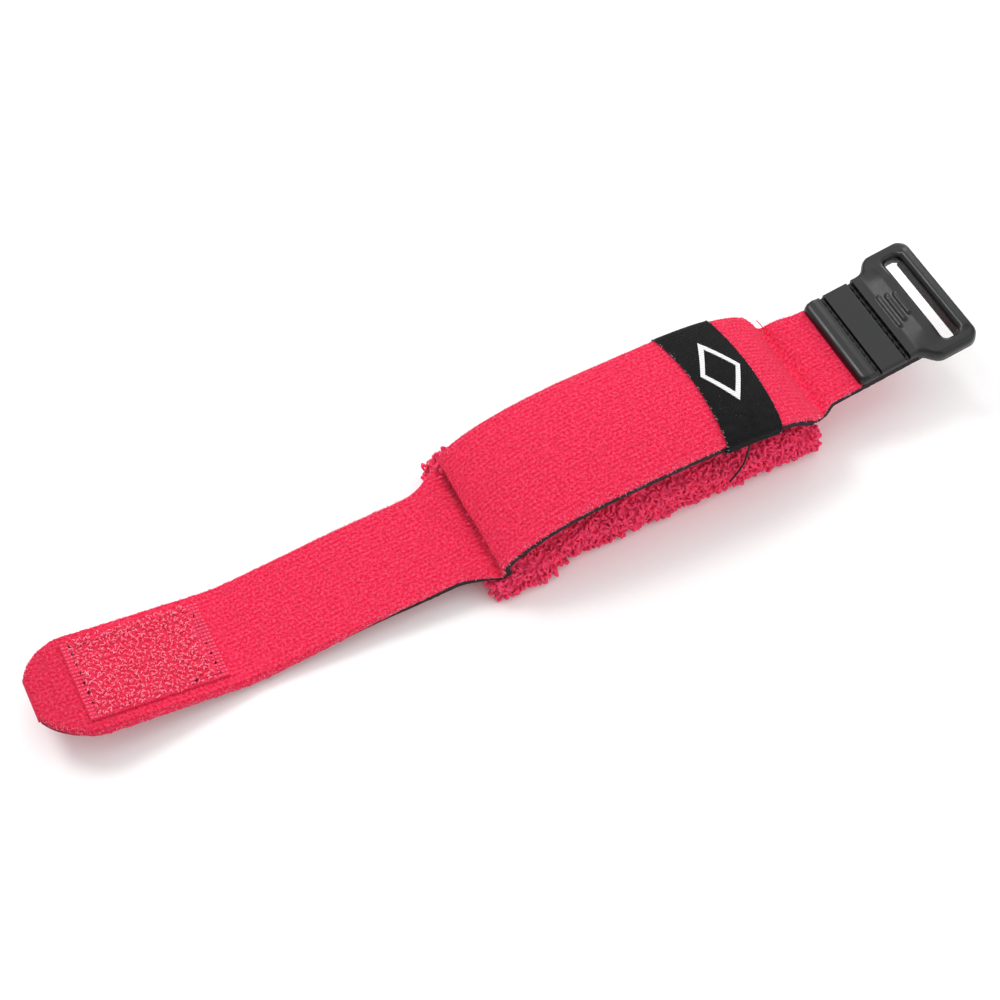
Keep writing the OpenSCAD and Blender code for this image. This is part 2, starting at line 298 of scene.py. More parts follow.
def seam_groove(x):
    """How deep the two seams pull the laminate down."""
    from_tail, from_buckle = x - TAIL_SEAM_X, x - BUCKLE_SEAM_X
    crease = 1.7 * math.exp(-(from_tail / 0.6) ** 2) + 0.4 * math.exp(-(from_tail / 2.2) ** 2)
    return crease + 0.35 * math.exp(-(from_buckle / 1.4) ** 2)


def sway(x):
    """How far the soft tail lies off the middle line, to the far side."""
    return 0.45 * smoothstep((-50 - x) / 20) + 0.3 * smoothstep((-128 - x) / 10)


TWIST_X = 47.0  # the far edge stands up and out beside the buckle seam, most of all here
TWIST_LENGTH = 3.5
TWIST_UP = 0.9
TWIST_OUT = 0.6


def far_edge_twist(x, y):
    """How much, from 0 to 1, the strap takes part in its far edge's twist."""
    return math.exp(-((x - TWIST_X) / TWIST_LENGTH) ** 2) * smoothstep(y / 13)


def on_strap(s, y, d):
    """The place of a point at length s, y across the strap and d above its face."""
    point, normal = LINE.at(s)
    lift = d + crown(point.x, y) + pucker(point.x, y) - seam_groove(point.x)
    twist = far_edge_twist(point.x, y)
    lift += TWIST_UP * twist
    aside = sway(point.x) + TWIST_OUT * twist
    return Vector((point.x + normal.x * lift, y + aside, point.y + normal.y * lift))


# ---- Meshes --------------------------------------------------------------------------------------


def add(tree, kind, inputs=None, **settings):
    """Adds a node with its settings, and sets or links its inputs."""
    node = tree.nodes.new(kind)
    for name, value in settings.items():
        setattr(node, name, value)
    for key, value in (inputs or {}).items():
        if isinstance(value, bpy.types.NodeSocket):
            tree.links.new(value, node.inputs[key])
        else:
            node.inputs[key].default_value = value
    return node


def gridded_block(cuts):
    """A unit cube cut into a grid, with so many cuts along each axis."""
    bm = bmesh.new()
    bmesh.ops.create_cube(bm, size=1)
    for axis in range(3):
        along = [e for e in bm.edges if abs(e.verts[0].co[axis] - e.verts[1].co[axis]) > 1e-6]
        bmesh.ops.subdivide_edges(bm, edges=along, cuts=cuts[axis], use_grid_fill=True)
    return bm


def set_uvs(bm, flat):
    """Keeps each point's place on the flat cloth, in millimetres, as the UV map."""
    layer = bm.loops.layers.uv.new("cloth")
    for face in bm.faces:
        for loop in face.loops:
            loop[layer].uv = flat[loop.vert.index]


def scatter(templates, places):
    """One mesh with templates[k] at each (k, matrix); 'rise' keeps a point's height in its template."""
    corners, faces, rises, start = [], [], [], 0
    for k, template in enumerate(templates):
        points = numpy.array([(*v.co, 1.0) for v in template.verts])
        template.verts.index_update()
        quads = [[v.index for v in f.verts] for f in template.faces]
        matrices = numpy.array([m for i, m in places if i == k])
        if not len(matrices):
            continue
        placed = numpy.einsum("nij,pj->npi", matrices, points)[:, :, :3]
        corners.append(placed.reshape(-1, 3))
        rises.append(numpy.tile(points[:, 2], len(matrices)))
        for n in range(len(matrices)):
            offset = start + n * len(points)
            faces += [[offset + i for i in quad] for quad in quads]
        start += len(points) * len(matrices)
    mesh = bpy.data.meshes.new("scatter")
    mesh.from_pydata(numpy.concatenate(corners).tolist(), [], faces)
    rise = mesh.attributes.new("rise", "FLOAT", "POINT")
    rise.data.foreach_set("value", numpy.concatenate(rises).astype(numpy.float32))
    return mesh


def stand(place, up, turn=0.0, size=(1, 1, 1)):
    """A matrix that stands a template at a place, its Z along up, turned and sized."""
    basis = up.to_track_quat("Z", "Y").to_matrix().to_4x4()
    return (Matrix.Translation(place) @ basis @ Matrix.Rotation(turn, 4, "Z")
            @ Matrix.Diagonal((*size, 1)))


def laid(place, up, along):
    """A matrix that lays a template at a place, its X along and its Z up."""
    return Matrix.Translation(place) @ Matrix((along, up.cross(along), up)).transposed().to_4x4()


def tube(points, radius, sides=6, smoothness=3):
    """A round tube with closed ends along a smooth curve through the points."""
    curve = bpy.data.curves.new("route", "CURVE")
    curve.dimensions = "3D"
    spline = curve.splines.new("NURBS")
    spline.points.add(len(points) - 1)
    for knot, point in zip(spline.points, points):
        knot.co = (*point, 1)
    spline.order_u = 3
    spline.use_endpoint_u = True
    spline.resolution_u = smoothness
    curve.bevel_depth = radius
    curve.bevel_resolution = max(0, sides // 2 - 2)
    curve.use_fill_caps = True
    holder = bpy.data.objects.new("route", curve)
    mesh = bpy.data.meshes.new_from_object(holder)
    bpy.data.objects.remove(holder)
    bm = bmesh.new()
    bm.from_mesh(mesh)
    bmesh.ops.remove_doubles(bm, verts=bm.verts, dist=radius / 20)
    bmesh.ops.recalc_face_normals(bm, faces=bm.faces)
    return bm


def loose_object(bm, name):
    """An object for modifiers to work on before its mesh becomes a piece."""
    mesh = bpy.data.meshes.new(name)
    bm.to_mesh(mesh)
    bm.free()
    holder = bpy.data.objects.new(name, mesh)
    bpy.context.scene.collection.objects.link(holder)
    return holder


def applied(holder):
    """The mesh of an object with its modifiers applied; the object itself is removed."""
    evaluated = holder.evaluated_get(bpy.context.evaluated_depsgraph_get())
    mesh = bpy.data.meshes.new_from_object(evaluated)
    bpy.data.objects.remove(holder)
    bm = bmesh.new()
    bm.from_mesh(mesh)
    return bm


def piece(shape, name, material, body, replaces=(), blend=None, sharp=50):
    """Finishes a shape in millimetres as a piece that rides on a body or, given a blend, stays in the
    world's frame.
    """
    if isinstance(shape, bmesh.types.BMesh):
        mesh = bpy.data.meshes.new(name)
        shape.to_mesh(mesh)
        shape.free()
    else:
        mesh = shape
        mesh.name = name
    mesh.transform(Matrix.Scale(MM, 4))
    mesh.shade_smooth()
    mesh.set_sharp_from_angle(angle=math.radians(sharp))
    mesh.materials.append(material)
    finished = bpy.data.objects.new(name, mesh)
    bpy.context.scene.collection.objects.link(finished)
    if blend:
        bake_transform(finished)
    else:
        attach(finished, body)
    if replaces:
        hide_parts(*replaces)
    return finished


# ---- Materials -----------------------------------------------------------------------------------


def new_material(name):
    """A material with an empty tree, its shader and its output joined."""
    material = bpy.data.materials.new(name)
    material.use_nodes = True
    tree = material.node_tree
    tree.nodes.clear()
    shader = add(tree, "ShaderNodeBsdfPrincipled")
    add(tree, "ShaderNodeOutputMaterial", {"Surface": shader.outputs["BSDF"]})
    return material, tree, shader


def brushed_knit(name, colour):
    """Brushed nylon jersey: fine ribs of small stitches under a soft nap, dull; painted shade darkens
    its grooves and painted light brightens its raised stitches, with pale flecks of fuzz and painted
    highlights.
    """
    material, tree, shader = new_material(name)
    pitch = mm(sizes().rib_pitch)
    course = 1.15
    uv = add(tree, "ShaderNodeUVMap", uv_map="cloth")
    nap = add(tree, "ShaderNodeTexNoise", {"Vector": uv.outputs[0], "Scale": 2.3, "Detail": 6.0,
                                           "Roughness": 0.8})
    drift = add(tree, "ShaderNodeTexNoise", {"Vector": uv.outputs[0], "Scale": 0.45, "Detail": 2.0})
    place = add(tree, "ShaderNodeSeparateXYZ", {0: uv.outputs[0]})
    # The ribs wander a little, as knit does
    wander = add(tree, "ShaderNodeMath", {0: drift.outputs[0], 1: 0.5, 2: place.outputs["Y"]},
                 operation="MULTIPLY_ADD")
    across = add(tree, "ShaderNodeMath", {0: wander.outputs[0], 1: 1 / pitch}, operation="MULTIPLY")
    groove = add(tree, "ShaderNodeMath", {0: across.outputs[0], 1: 0.5}, operation="PINGPONG")
    rib = add(tree, "ShaderNodeMapRange", {0: groove.outputs[0], 1: 0.0, 2: 0.5, 4: 0.7},
              interpolation_type="SMOOTHSTEP")
    # Each wale starts its stitches elsewhere, and the nap blurs them
    wale = add(tree, "ShaderNodeMath", {0: across.outputs[0]}, operation="FLOOR")
    blur = add(tree, "ShaderNodeMath", {0: nap.outputs[0], 1: 9.0}, operation="MULTIPLY")
    slip = add(tree, "ShaderNodeMath", {0: wale.outputs[0], 1: 2.4, 2: blur.outputs[0]},
               operation="MULTIPLY_ADD")
    along = add(tree, "ShaderNodeMath",
                {0: place.outputs["X"], 1: math.tau / course, 2: slip.outputs[0]},
                operation="MULTIPLY_ADD")
    slant = add(tree, "ShaderNodeMath", {0: groove.outputs[0], 1: 5.0, 2: along.outputs[0]},
                operation="MULTIPLY_ADD")
    leg = add(tree, "ShaderNodeMath", {0: slant.outputs[0]}, operation="SINE")
    stitch = add(tree, "ShaderNodeMapRange", {0: leg.outputs[0], 1: -1.0, 2: 1.0})
    knit = add(tree, "ShaderNodeMath", {0: stitch.outputs[0], 1: 0.6, 2: rib.outputs[0]},
               operation="MULTIPLY_ADD")
    height = add(tree, "ShaderNodeMath", {0: nap.outputs[0], 1: 5.0, 2: knit.outputs[0]},
                 operation="MULTIPLY_ADD")
    # Painted shade and light: the colour goes darker down in the grooves and paler on the raised
    # stitches, following the bump's height
    level = add(tree, "ShaderNodeMapRange", {0: height.outputs[0], 1: 2.1, 2: 4.1})
    dark, pale = [max(0, c * 0.80 - 0.012) for c in colour], [min(1, c * 1.08 + 0.012) for c in colour]
    tint = add(tree, "ShaderNodeMix", {0: level.outputs[0], 6: (*dark, 1), 7: (*pale, 1)},
               data_type="RGBA")
    # Pale flecks: partly loose fuzz of the nap, partly painted highlights on its fibres
    fluff_and_highlight = add(tree, "ShaderNodeTexNoise", {"Vector": uv.outputs[0], "Scale": 1.5, "Detail": 6.0,
                                             "Roughness": 0.85})
    fleck = add(tree, "ShaderNodeMapRange", {0: fluff_and_highlight.outputs[0], 1: 0.47, 2: 0.68, 3: 0.0, 4: 0.6})
    flecked = add(tree, "ShaderNodeMix", {0: fleck.outputs[0], 6: tint.outputs[2],
                                          7: (*linear("#FF7B9A"), 1)}, data_type="RGBA")
    patches = add(tree, "ShaderNodeMapRange", {0: drift.outputs[0], 1: 0.3, 2: 0.7, 3: 0.93, 4: 1.04})
    # The deep crease where the tail is sewn down lies in its own shade, most on the far side
    from_seam = add(tree, "ShaderNodeMath", {0: place.outputs["X"], 1: LINE.length_at(TAIL_SEAM_X)},
                    operation="SUBTRACT")
    away = add(tree, "ShaderNodeMath", {0: from_seam.outputs[0]}, operation="ABSOLUTE")
    open_side = add(tree, "ShaderNodeMapRange",
                    {0: place.outputs["Y"], 1: -14.0, 2: 8.0, 3: 0.72, 4: 0.42})
    crease = add(tree, "ShaderNodeMapRange", {0: away.outputs[0], 1: 0.15, 2: 1.0,
                                              3: open_side.outputs[0], 4: 1.0},
                 interpolation_type="SMOOTHSTEP")
    # Painted shade: the knit is painted darker towards the tip
    tip_painted_shade = add(tree, "ShaderNodeMapRange", {0: place.outputs["X"], 1: 5.0, 2: 22.0, 3: 0.84, 4: 1.0})
    patches_and_tip_shade = add(tree, "ShaderNodeMath", {0: patches.outputs[0], 1: tip_painted_shade.outputs[0]},
               operation="MULTIPLY")
    light = add(tree, "ShaderNodeMath", {0: patches_and_tip_shade.outputs[0], 1: crease.outputs[0]},
                operation="MULTIPLY")
    shade = add(tree, "ShaderNodeVectorMath", {0: flecked.outputs[2], 3: light.outputs[0]},
                operation="SCALE")
    bump = add(tree, "ShaderNodeBump", {"Strength": 0.6, "Distance": 0.0001,
                                        "Height": height.outputs[0]})
    shader.inputs["Roughness"].default_value = 0.9
    shader.inputs["Specular IOR Level"].default_value = 0.12
    shader.inputs["Sheen Weight"].default_value = 0.1
    shader.inputs["Sheen Roughness"].default_value = 0.45
    shader.inputs["Sheen Tint"].default_value = (*linear("#FF9DB4"), 1)
    tree.links.new(shade.outputs[0], shader.inputs["Base Color"])
    tree.links.new(bump.outputs[0], shader.inputs["Normal"])
    return material


def cut_foam(name, colour):
    """Black open-cell foam with a knife-cut side: dull, pitted by its small open cells, with painted
    shade down in them.
    """
    material, tree, shader = new_material(name)
    where = add(tree, "ShaderNodeTexCoord")
    cells = add(tree, "ShaderNodeTexVoronoi", {"Vector": where.outputs["Object"], "Scale": 3200.0})
    patchy_pit_shade = add(tree, "ShaderNodeTexNoise", {"Vector": where.outputs["Object"], "Scale": 700.0,
                                             "Detail": 3.0})
    # Painted shade: darker down in the open cells, where the bump sinks, in patches; paler on the cell
    # walls
    pits = add(tree, "ShaderNodeMapRange", {0: cells.outputs["Distance"], 1: 0.0, 2: 0.7})
    dark, pale = [c * 0.5 for c in colour], [c * 1.7 for c in colour]
    tone = add(tree, "ShaderNodeMath", {0: patchy_pit_shade.outputs[0], 1: pits.outputs[0]}, operation="MULTIPLY")
    tint = add(tree, "ShaderNodeMix", {0: tone.outputs[0], 6: (*pale, 1), 7: (*dark, 1)},
               data_type="RGBA")
    bump = add(tree, "ShaderNodeBump", {"Strength": 0.7, "Distance": 0.0002,
                                        "Height": cells.outputs["Distance"]}, invert=True)
    shader.inputs["Roughness"].default_value = 0.95
    shader.inputs["Specular IOR Level"].default_value = 0.15
    tree.links.new(tint.outputs[2], shader.inputs["Base Color"])
    tree.links.new(bump.outputs[0], shader.inputs["Normal"])
    return material


def spun_yarn(name, colour, root=0.86, height=1.2):
    """Spun cotton loops: soft and dull, twisted fibres, with painted shade towards their roots where the
    loops crowd.
    """
    material, tree, shader = new_material(name)
    where = add(tree, "ShaderNodeTexCoord")
    twist = add(tree, "ShaderNodeTexWave",
                {"Vector": where.outputs["Object"], "Scale": 1500.0, "Distortion": 6.0, "Detail": 2.0},
                bands_direction="DIAGONAL")
    blotch = add(tree, "ShaderNodeTexNoise", {"Vector": where.outputs["Object"], "Scale": 420.0,
                                              "Detail": 3.0})
    rise = add(tree, "ShaderNodeAttribute", attribute_name="rise")
    # Painted shade: the yarn is darker towards the loops' roots, by the height that 'rise' keeps; 'root'
    # is how dark
    depth = add(tree, "ShaderNodeMapRange", {0: rise.outputs["Fac"], 1: 0.1, 2: height, 3: root, 4: 1.0})
    mottle = add(tree, "ShaderNodeMapRange", {0: blotch.outputs[0], 1: 0.3, 2: 0.7, 3: 0.9, 4: 1.2})
    tone = add(tree, "ShaderNodeMath", {0: depth.outputs[0], 1: mottle.outputs[0]}, operation="MULTIPLY")
    shade = add(tree, "ShaderNodeVectorMath", {0: colour, 3: tone.outputs[0]}, operation="SCALE")
    bump = add(tree, "ShaderNodeBump", {"Strength": 0.5, "Distance": 0.00012,
                                        "Height": twist.outputs[0]})
    shader.inputs["Roughness"].default_value = 0.88
    shader.inputs["Specular IOR Level"].default_value = 0.2
    shader.inputs["Sheen Weight"].default_value = 0.4
    shader.inputs["Sheen Roughness"].default_value = 0.4
    shader.inputs["Sheen Tint"].default_value = (*linear("#FF8FAA"), 1)
    tree.links.new(shade.outputs[0], shader.inputs["Base Color"])
    tree.links.new(bump.outputs[0], shader.inputs["Normal"])
    return material


def sewing_thread(name, colour, roughness=0.5):
    """Plied polyester thread: two strands twisted together, with a faint gleam."""
    material, tree, shader = new_material(name)
    where = add(tree, "ShaderNodeTexCoord")
    ply = add(tree, "ShaderNodeTexWave", {"Vector": where.outputs["Object"], "Scale": 900.0,
                                          "Distortion": 1.5}, bands_direction="DIAGONAL")
    # Painted shade: darker down between the twisted strands, where the bump is low
    tone = add(tree, "ShaderNodeMapRange", {0: ply.outputs[0], 3: 0.6, 4: 1.15})
    shade = add(tree, "ShaderNodeVectorMath", {0: colour, 3: tone.outputs[0]}, operation="SCALE")
    bump = add(tree, "ShaderNodeBump", {"Strength": 0.4, "Distance": 0.00006, "Height": ply.outputs[0]})
    shader.inputs["Roughness"].default_value = roughness
    shader.inputs["Specular IOR Level"].default_value = 0.35
    tree.links.new(shade.outputs[0], shader.inputs["Base Color"])
    tree.links.new(bump.outputs[0], shader.inputs["Normal"])
    return material


def loose_fibre(name, colour):
    """Loose nylon fibres: so fine that light goes through them, with painted shade at their roots and
    painted light towards their ends.
    """
    material, tree, shader = new_material(name)
    rise = add(tree, "ShaderNodeAttribute", attribute_name="rise")
    # Painted shade and light: darker low down, paler towards the ends
    low_shade_high_light = add(tree, "ShaderNodeMapRange", {0: rise.outputs["Fac"], 3: 0.85, 4: 1.15})
    shade = add(tree, "ShaderNodeVectorMath", {0: colour, 3: low_shade_high_light.outputs[0]}, operation="SCALE")
    shader.inputs["Roughness"].default_value = 1.0
    shader.inputs["Specular IOR Level"].default_value = 0.0
    shader.inputs["Subsurface Weight"].default_value = 0.7
    shader.inputs["Subsurface Scale"].default_value = 0.0006
    tree.links.new(shade.outputs[0], shader.inputs["Base Color"])
    return material


def label_satin(name, colour, depth=0.6):
    """Woven damask: a plain crossing of warp and weft, silky, with specks of pale lint."""
    material, tree, shader = new_material(name)
    uv = add(tree, "ShaderNodeUVMap", uv_map="cloth")
    place = add(tree, "ShaderNodeSeparateXYZ", {0: uv.outputs[0]})
    # Drawn 0.7 mm apart, coarser than the real threads, so that the weave shows
    warp = add(tree, "ShaderNodeMath", {0: place.outputs["X"], 1: math.tau / 0.7}, operation="MULTIPLY")
    weft = add(tree, "ShaderNodeMath", {0: place.outputs["Y"], 1: math.tau / 0.7}, operation="MULTIPLY")
    warp_wave = add(tree, "ShaderNodeMath", {0: warp.outputs[0]}, operation="SINE")
    weft_wave = add(tree, "ShaderNodeMath", {0: weft.outputs[0]}, operation="SINE")
    weave = add(tree, "ShaderNodeMath", {0: warp_wave.outputs[0], 1: weft_wave.outputs[0]},
                operation="MULTIPLY")
    level = add(tree, "ShaderNodeMapRange", {0: weave.outputs[0], 1: -1.0, 2: 1.0})
    lint = add(tree, "ShaderNodeTexNoise", {"Vector": uv.outputs[0], "Scale": 3.2, "Detail": 3.0})
    specks = add(tree, "ShaderNodeMapRange", {0: lint.outputs[0], 1: 0.70, 2: 0.76})
    # Painted shade and sheen: the low crossings of the weave are painted darker, and the crossings show
    # pale only in broad patches, as a satin's sheen
    sheen = add(tree, "ShaderNodeTexNoise", {"Vector": uv.outputs[0], "Scale": 0.22})
    tone = add(tree, "ShaderNodeMath", {0: level.outputs[0], 1: sheen.outputs[0]}, operation="MULTIPLY")
    dark, pale = [c * depth for c in colour], [min(1, c * 1.8 + 0.008) for c in colour]
    tint = add(tree, "ShaderNodeMix", {0: tone.outputs[0], 6: (*dark, 1), 7: (*pale, 1)},
               data_type="RGBA")
    linted = add(tree, "ShaderNodeMix", {0: specks.outputs[0], 6: tint.outputs[2],
                                         7: (*linear("#8E8A8E"), 1)}, data_type="RGBA")
    bump = add(tree, "ShaderNodeBump", {"Strength": 0.8, "Distance": 0.00014,
                                        "Height": weave.outputs[0]})
    shader.inputs["Roughness"].default_value = 0.6
    shader.inputs["Specular IOR Level"].default_value = 0.1
    shader.inputs["Sheen Weight"].default_value = 0.02
    tree.links.new(linted.outputs[2], shader.inputs["Base Color"])
    tree.links.new(bump.outputs[0], shader.inputs["Normal"])
    return material


def hook_monofilament(name, colour):
    """Nylon monofilament: thin, pale and half clear, with painted light at the hooks' tops and painted
    shade at their roots.
    """
    material, tree, shader = new_material(name)
    rise = add(tree, "ShaderNodeAttribute", attribute_name="rise")
    where = add(tree, "ShaderNodeTexCoord")
    blotch = add(tree, "ShaderNodeTexNoise", {"Vector": where.outputs["Object"], "Scale": 600.0})
    # Painted shade and light: deep pink at the hooks' roots, paler towards their tops, varied in
    # blotches
    tone = add(tree, "ShaderNodeMapRange", {0: rise.outputs["Fac"], 1: 0.1, 2: 0.9, 3: 0.1, 4: 1.5})
    height_shade_and_blotch = add(tree, "ShaderNodeMath", {0: tone.outputs[0], 1: blotch.outputs[0]}, operation="MULTIPLY")
    deep = linear("#F63A5C")
    tint = add(tree, "ShaderNodeMix", {0: height_shade_and_blotch.outputs[0], 6: (*deep, 1), 7: (*colour, 1)},
               data_type="RGBA")
    shader.inputs["Roughness"].default_value = 0.3
    shader.inputs["IOR"].default_value = 1.53
    shader.inputs["Subsurface Weight"].default_value = 0.15
    shader.inputs["Subsurface Scale"].default_value = 0.0004
    tree.links.new(tint.outputs[2], shader.inputs["Base Color"])
    return material


def moulded_plastic(name, colour):
    """Moulded acetal: dark grey, satin, with a fine spark-eroded grain and softly polished edges."""
    material, tree, shader = new_material(name)
    where = add(tree, "ShaderNodeTexCoord")
    grain = add(tree, "ShaderNodeTexNoise", {"Vector": where.outputs["Object"], "Scale": 3800.0,
                                             "Detail": 2.0})
    wear = add(tree, "ShaderNodeTexNoise", {"Vector": where.outputs["Object"], "Scale": 260.0,
                                            "Detail": 4.0})
    tone = add(tree, "ShaderNodeMapRange", {0: wear.outputs[0], 1: 0.3, 2: 0.7, 3: 0.88, 4: 1.15})
    shade = add(tree, "ShaderNodeVectorMath", {0: colour, 3: tone.outputs[0]}, operation="SCALE")
    gloss = add(tree, "ShaderNodeMapRange", {0: wear.outputs[0], 1: 0.3, 2: 0.7, 3: 0.28, 4: 0.4})
    bump = add(tree, "ShaderNodeBump", {"Strength": 0.18, "Distance": 0.00005,
                                        "Height": grain.outputs[0]})
    shader.inputs["IOR"].default_value = 1.48
    shader.inputs["Specular IOR Level"].default_value = 0.5
    tree.links.new(shade.outputs[0], shader.inputs["Base Color"])
    tree.links.new(gloss.outputs[0], shader.inputs["Roughness"])
    tree.links.new(bump.outputs[0], shader.inputs["Normal"])
    return material


def seamless_paper(name):
    """Matt white background paper with a faint tooth."""
    material, tree, shader = new_material(name)
    where = add(tree, "ShaderNodeTexCoord")
    tooth = add(tree, "ShaderNodeTexNoise", {"Vector": where.outputs["Object"], "Scale": 900.0})
    tone = add(tree, "ShaderNodeMapRange", {0: tooth.outputs[0], 3: 0.96, 4: 0.99})
    shade = add(tree, "ShaderNodeVectorMath", {0: (1, 1, 1), 3: tone.outputs[0]}, operation="SCALE")
    shader.inputs["Roughness"].default_value = 0.9
    tree.links.new(shade.outputs[0], shader.inputs["Base Color"])
    return material


# ---- Stage ---------------------------------------------------------------------------------------

# Where the camera stands: turned about Z from looking along +Y, and above the floor, in degrees
AZIMUTH = -27.2
ELEVATION = 57.2
ROLL = -0.19
DISTANCE = 0.4224
AIM = Vector((-0.026, 0.0, 0.003))
SENSOR = 36.0
LENS = 66.5
SHIFT = (-0.026, 0.008)


class WRAPSTRAP_OT_stage(bpy.types.Operator):
    """Lay a pale floor, set soft studio lights and place the camera"""

    bl_idname = "wrap_strap.stage"
    bl_label = "Stage"

    def execute(self, context):
        scene = context.scene
        self.add_camera(scene)
        self.add_floor(scene)
        self.add_light(scene, "key", (0.0, 0.26, 0.76), 0.9, 2.0)
        self.add_light(scene, "kicker", (-0.27, 0.39, 0.63), 0.26, 1.9)
        self.add_light(scene, "fill", (0.45, -0.55, 0.55), 0.9, 2.1)
        self.add_light(scene, "rim", (0.5, 0.5, 0.35), 0.35, 1.2)
        world = bpy.data.worlds.new("studio")
        world.use_nodes = True
        tree = world.node_tree
        tree.nodes.clear()
        path = add(tree, "ShaderNodeLightPath")
        # The camera sees a white backdrop, and the room's light is softer than it
        level = add(tree, "ShaderNodeMapRange", {0: path.outputs["Is Camera Ray"], 3: 0.62, 4: 1.0})
        glow = add(tree, "ShaderNodeBackground", {"Color": (1, 1, 1, 1), "Strength": level.outputs[0]})
        add(tree, "ShaderNodeOutputWorld", {"Surface": glow.outputs[0]})
        scene.world = world
        scene.view_settings.view_transform = "Standard"
        return {"FINISHED"}

    def add_camera(self, scene):
        turn, tilt = math.radians(AZIMUTH), math.radians(ELEVATION)
        level = math.cos(tilt)
        back = Vector((math.sin(turn) * level, -math.cos(turn) * level, math.sin(tilt)))
        data = bpy.data.cameras.new("camera")
        data.sensor_width = SENSOR
        data.lens = LENS
        data.shift_x, data.shift_y = SHIFT
        data.clip_start = 0.01
        camera = bpy.data.objects.new("camera", data)
        facing = back.to_track_quat("Z", "Y").to_matrix().to_4x4()
        camera.matrix_world = (Matrix.Translation(AIM + back * DISTANCE) @ facing
                               @ Matrix.Rotation(math.radians(ROLL), 4, "Z"))
        scene.collection.objects.link(camera)
        scene.camera = camera

    def add_floor(self, scene):
        bm = bmesh.new()
        bmesh.ops.create_grid(bm, x_segments=4, y_segments=4, size=2)
        mesh = bpy.data.meshes.new("floor")
        bm.to_mesh(mesh)
        bm.free()
        mesh.materials.append(seamless_paper("seamless_paper"))
        floor = bpy.data.objects.new("floor", mesh)
        scene.collection.objects.link(floor)

    def add_light(self, scene, name, place, size, power):
        data = bpy.data.lights.new(name, "AREA")
        data.size = size
        data.energy = power
        light = bpy.data.objects.new(name, data)
        light.matrix_world = (Matrix.Translation(place)
                              @ Vector(place).to_track_quat("Z", "Y").to_matrix().to_4x4())
        scene.collection.objects.link(light)


# ---- The laminated strap -------------------------------------------------------------------------


class Stretch:
    """One length of the strap, cut where the bodies allow it, with the joint that it crosses."""

    def __init__(self, name, from_x, to_x, body, other=None, start=None, end=None):
        self.name = name
        self.from_s, self.to_s = LINE.length_at(from_x), LINE.length_at(to_x)
        self.body = body
        self.blend = None
        if other:
            centre_z = frame_height(start)
            self.blend = (other, (start * MM, 0, centre_z), (end * MM, 0, centre_z))


def frame_height(x):
    """The height of the middle of the laminate at x, in metres."""
    return (LINE.point(LINE.length_at(x)).y - STRAP_T / 2) * MM


TAIL_CUT_X = (FOLD_X + CURL_X) / 2
INNER_CUT_X = (CURL_X + TAIL_BEND_X) / 2

STRETCHES = (
    Stretch("tip", TIP_X, TAIL_CUT_X, "tail_outer", "tip", FOLD_X + 4, FOLD_X - 4),
    Stretch("tail_outer", TAIL_CUT_X, INNER_CUT_X, "tail_inner", "tail_outer", CURL_X + 6, CURL_X - 6),
    Stretch("tail_inner", INNER_CUT_X, TAIL_SEAM_X, "middle", "tail_inner", -42.2, -50.5),
    Stretch("middle", TAIL_SEAM_X, BUCKLE_SEAM_X, "middle"),
    Stretch("buckle_end", BUCKLE_SEAM_X, 200, "middle", "buckle_end", 44.4, 51.0),
)


LINING_INSET = 0.5  # the lining is pulled in under the foam's cut side
LAP = 0.6  # how far two neighbouring stretches lap, so that no gap opens between them


def edge_roll(x):
    """The radius of the face's soft edge and how far it then hangs down the cut side."""
    bare = smoothstep((x + 96) / 46)
    return 0.95 - 0.6 * bare, 1.1 * (1 - bare) * smoothstep((x - TIP_X - 3) / 9)


def over_edge(q, x):
    """Where a point q from the middle of the flat face comes to lie: y, and its drop at the edge."""
    radius = edge_roll(x)[0]
    half = half_width(x)
    q, side = abs(q), math.copysign(1, q)
    angle = (q - (half - radius)) / radius
    if angle <= 0:
        return side * q, 0.0
    if angle < math.pi / 2:
        return side * (half - radius + radius * math.sin(angle)), radius * (math.cos(angle) - 1)
    return side * half, -radius - (angle - math.pi / 2) * radius


def flat_half_width(x):
    """Half the width that the face is cut to at x, before its edges are rolled down."""
    radius, hang = edge_roll(x)
    return half_width(x) - radius + radius * math.pi / 2 + hang


def frayed(x, y):
    """How far the cut edge strays at a place along the strap."""
    return 0.30 * noise.noise(Vector((x * 0.9, y, 0.0))) + 0.42 * noise.noise(Vector((x * 2.3, y, 5.0)))


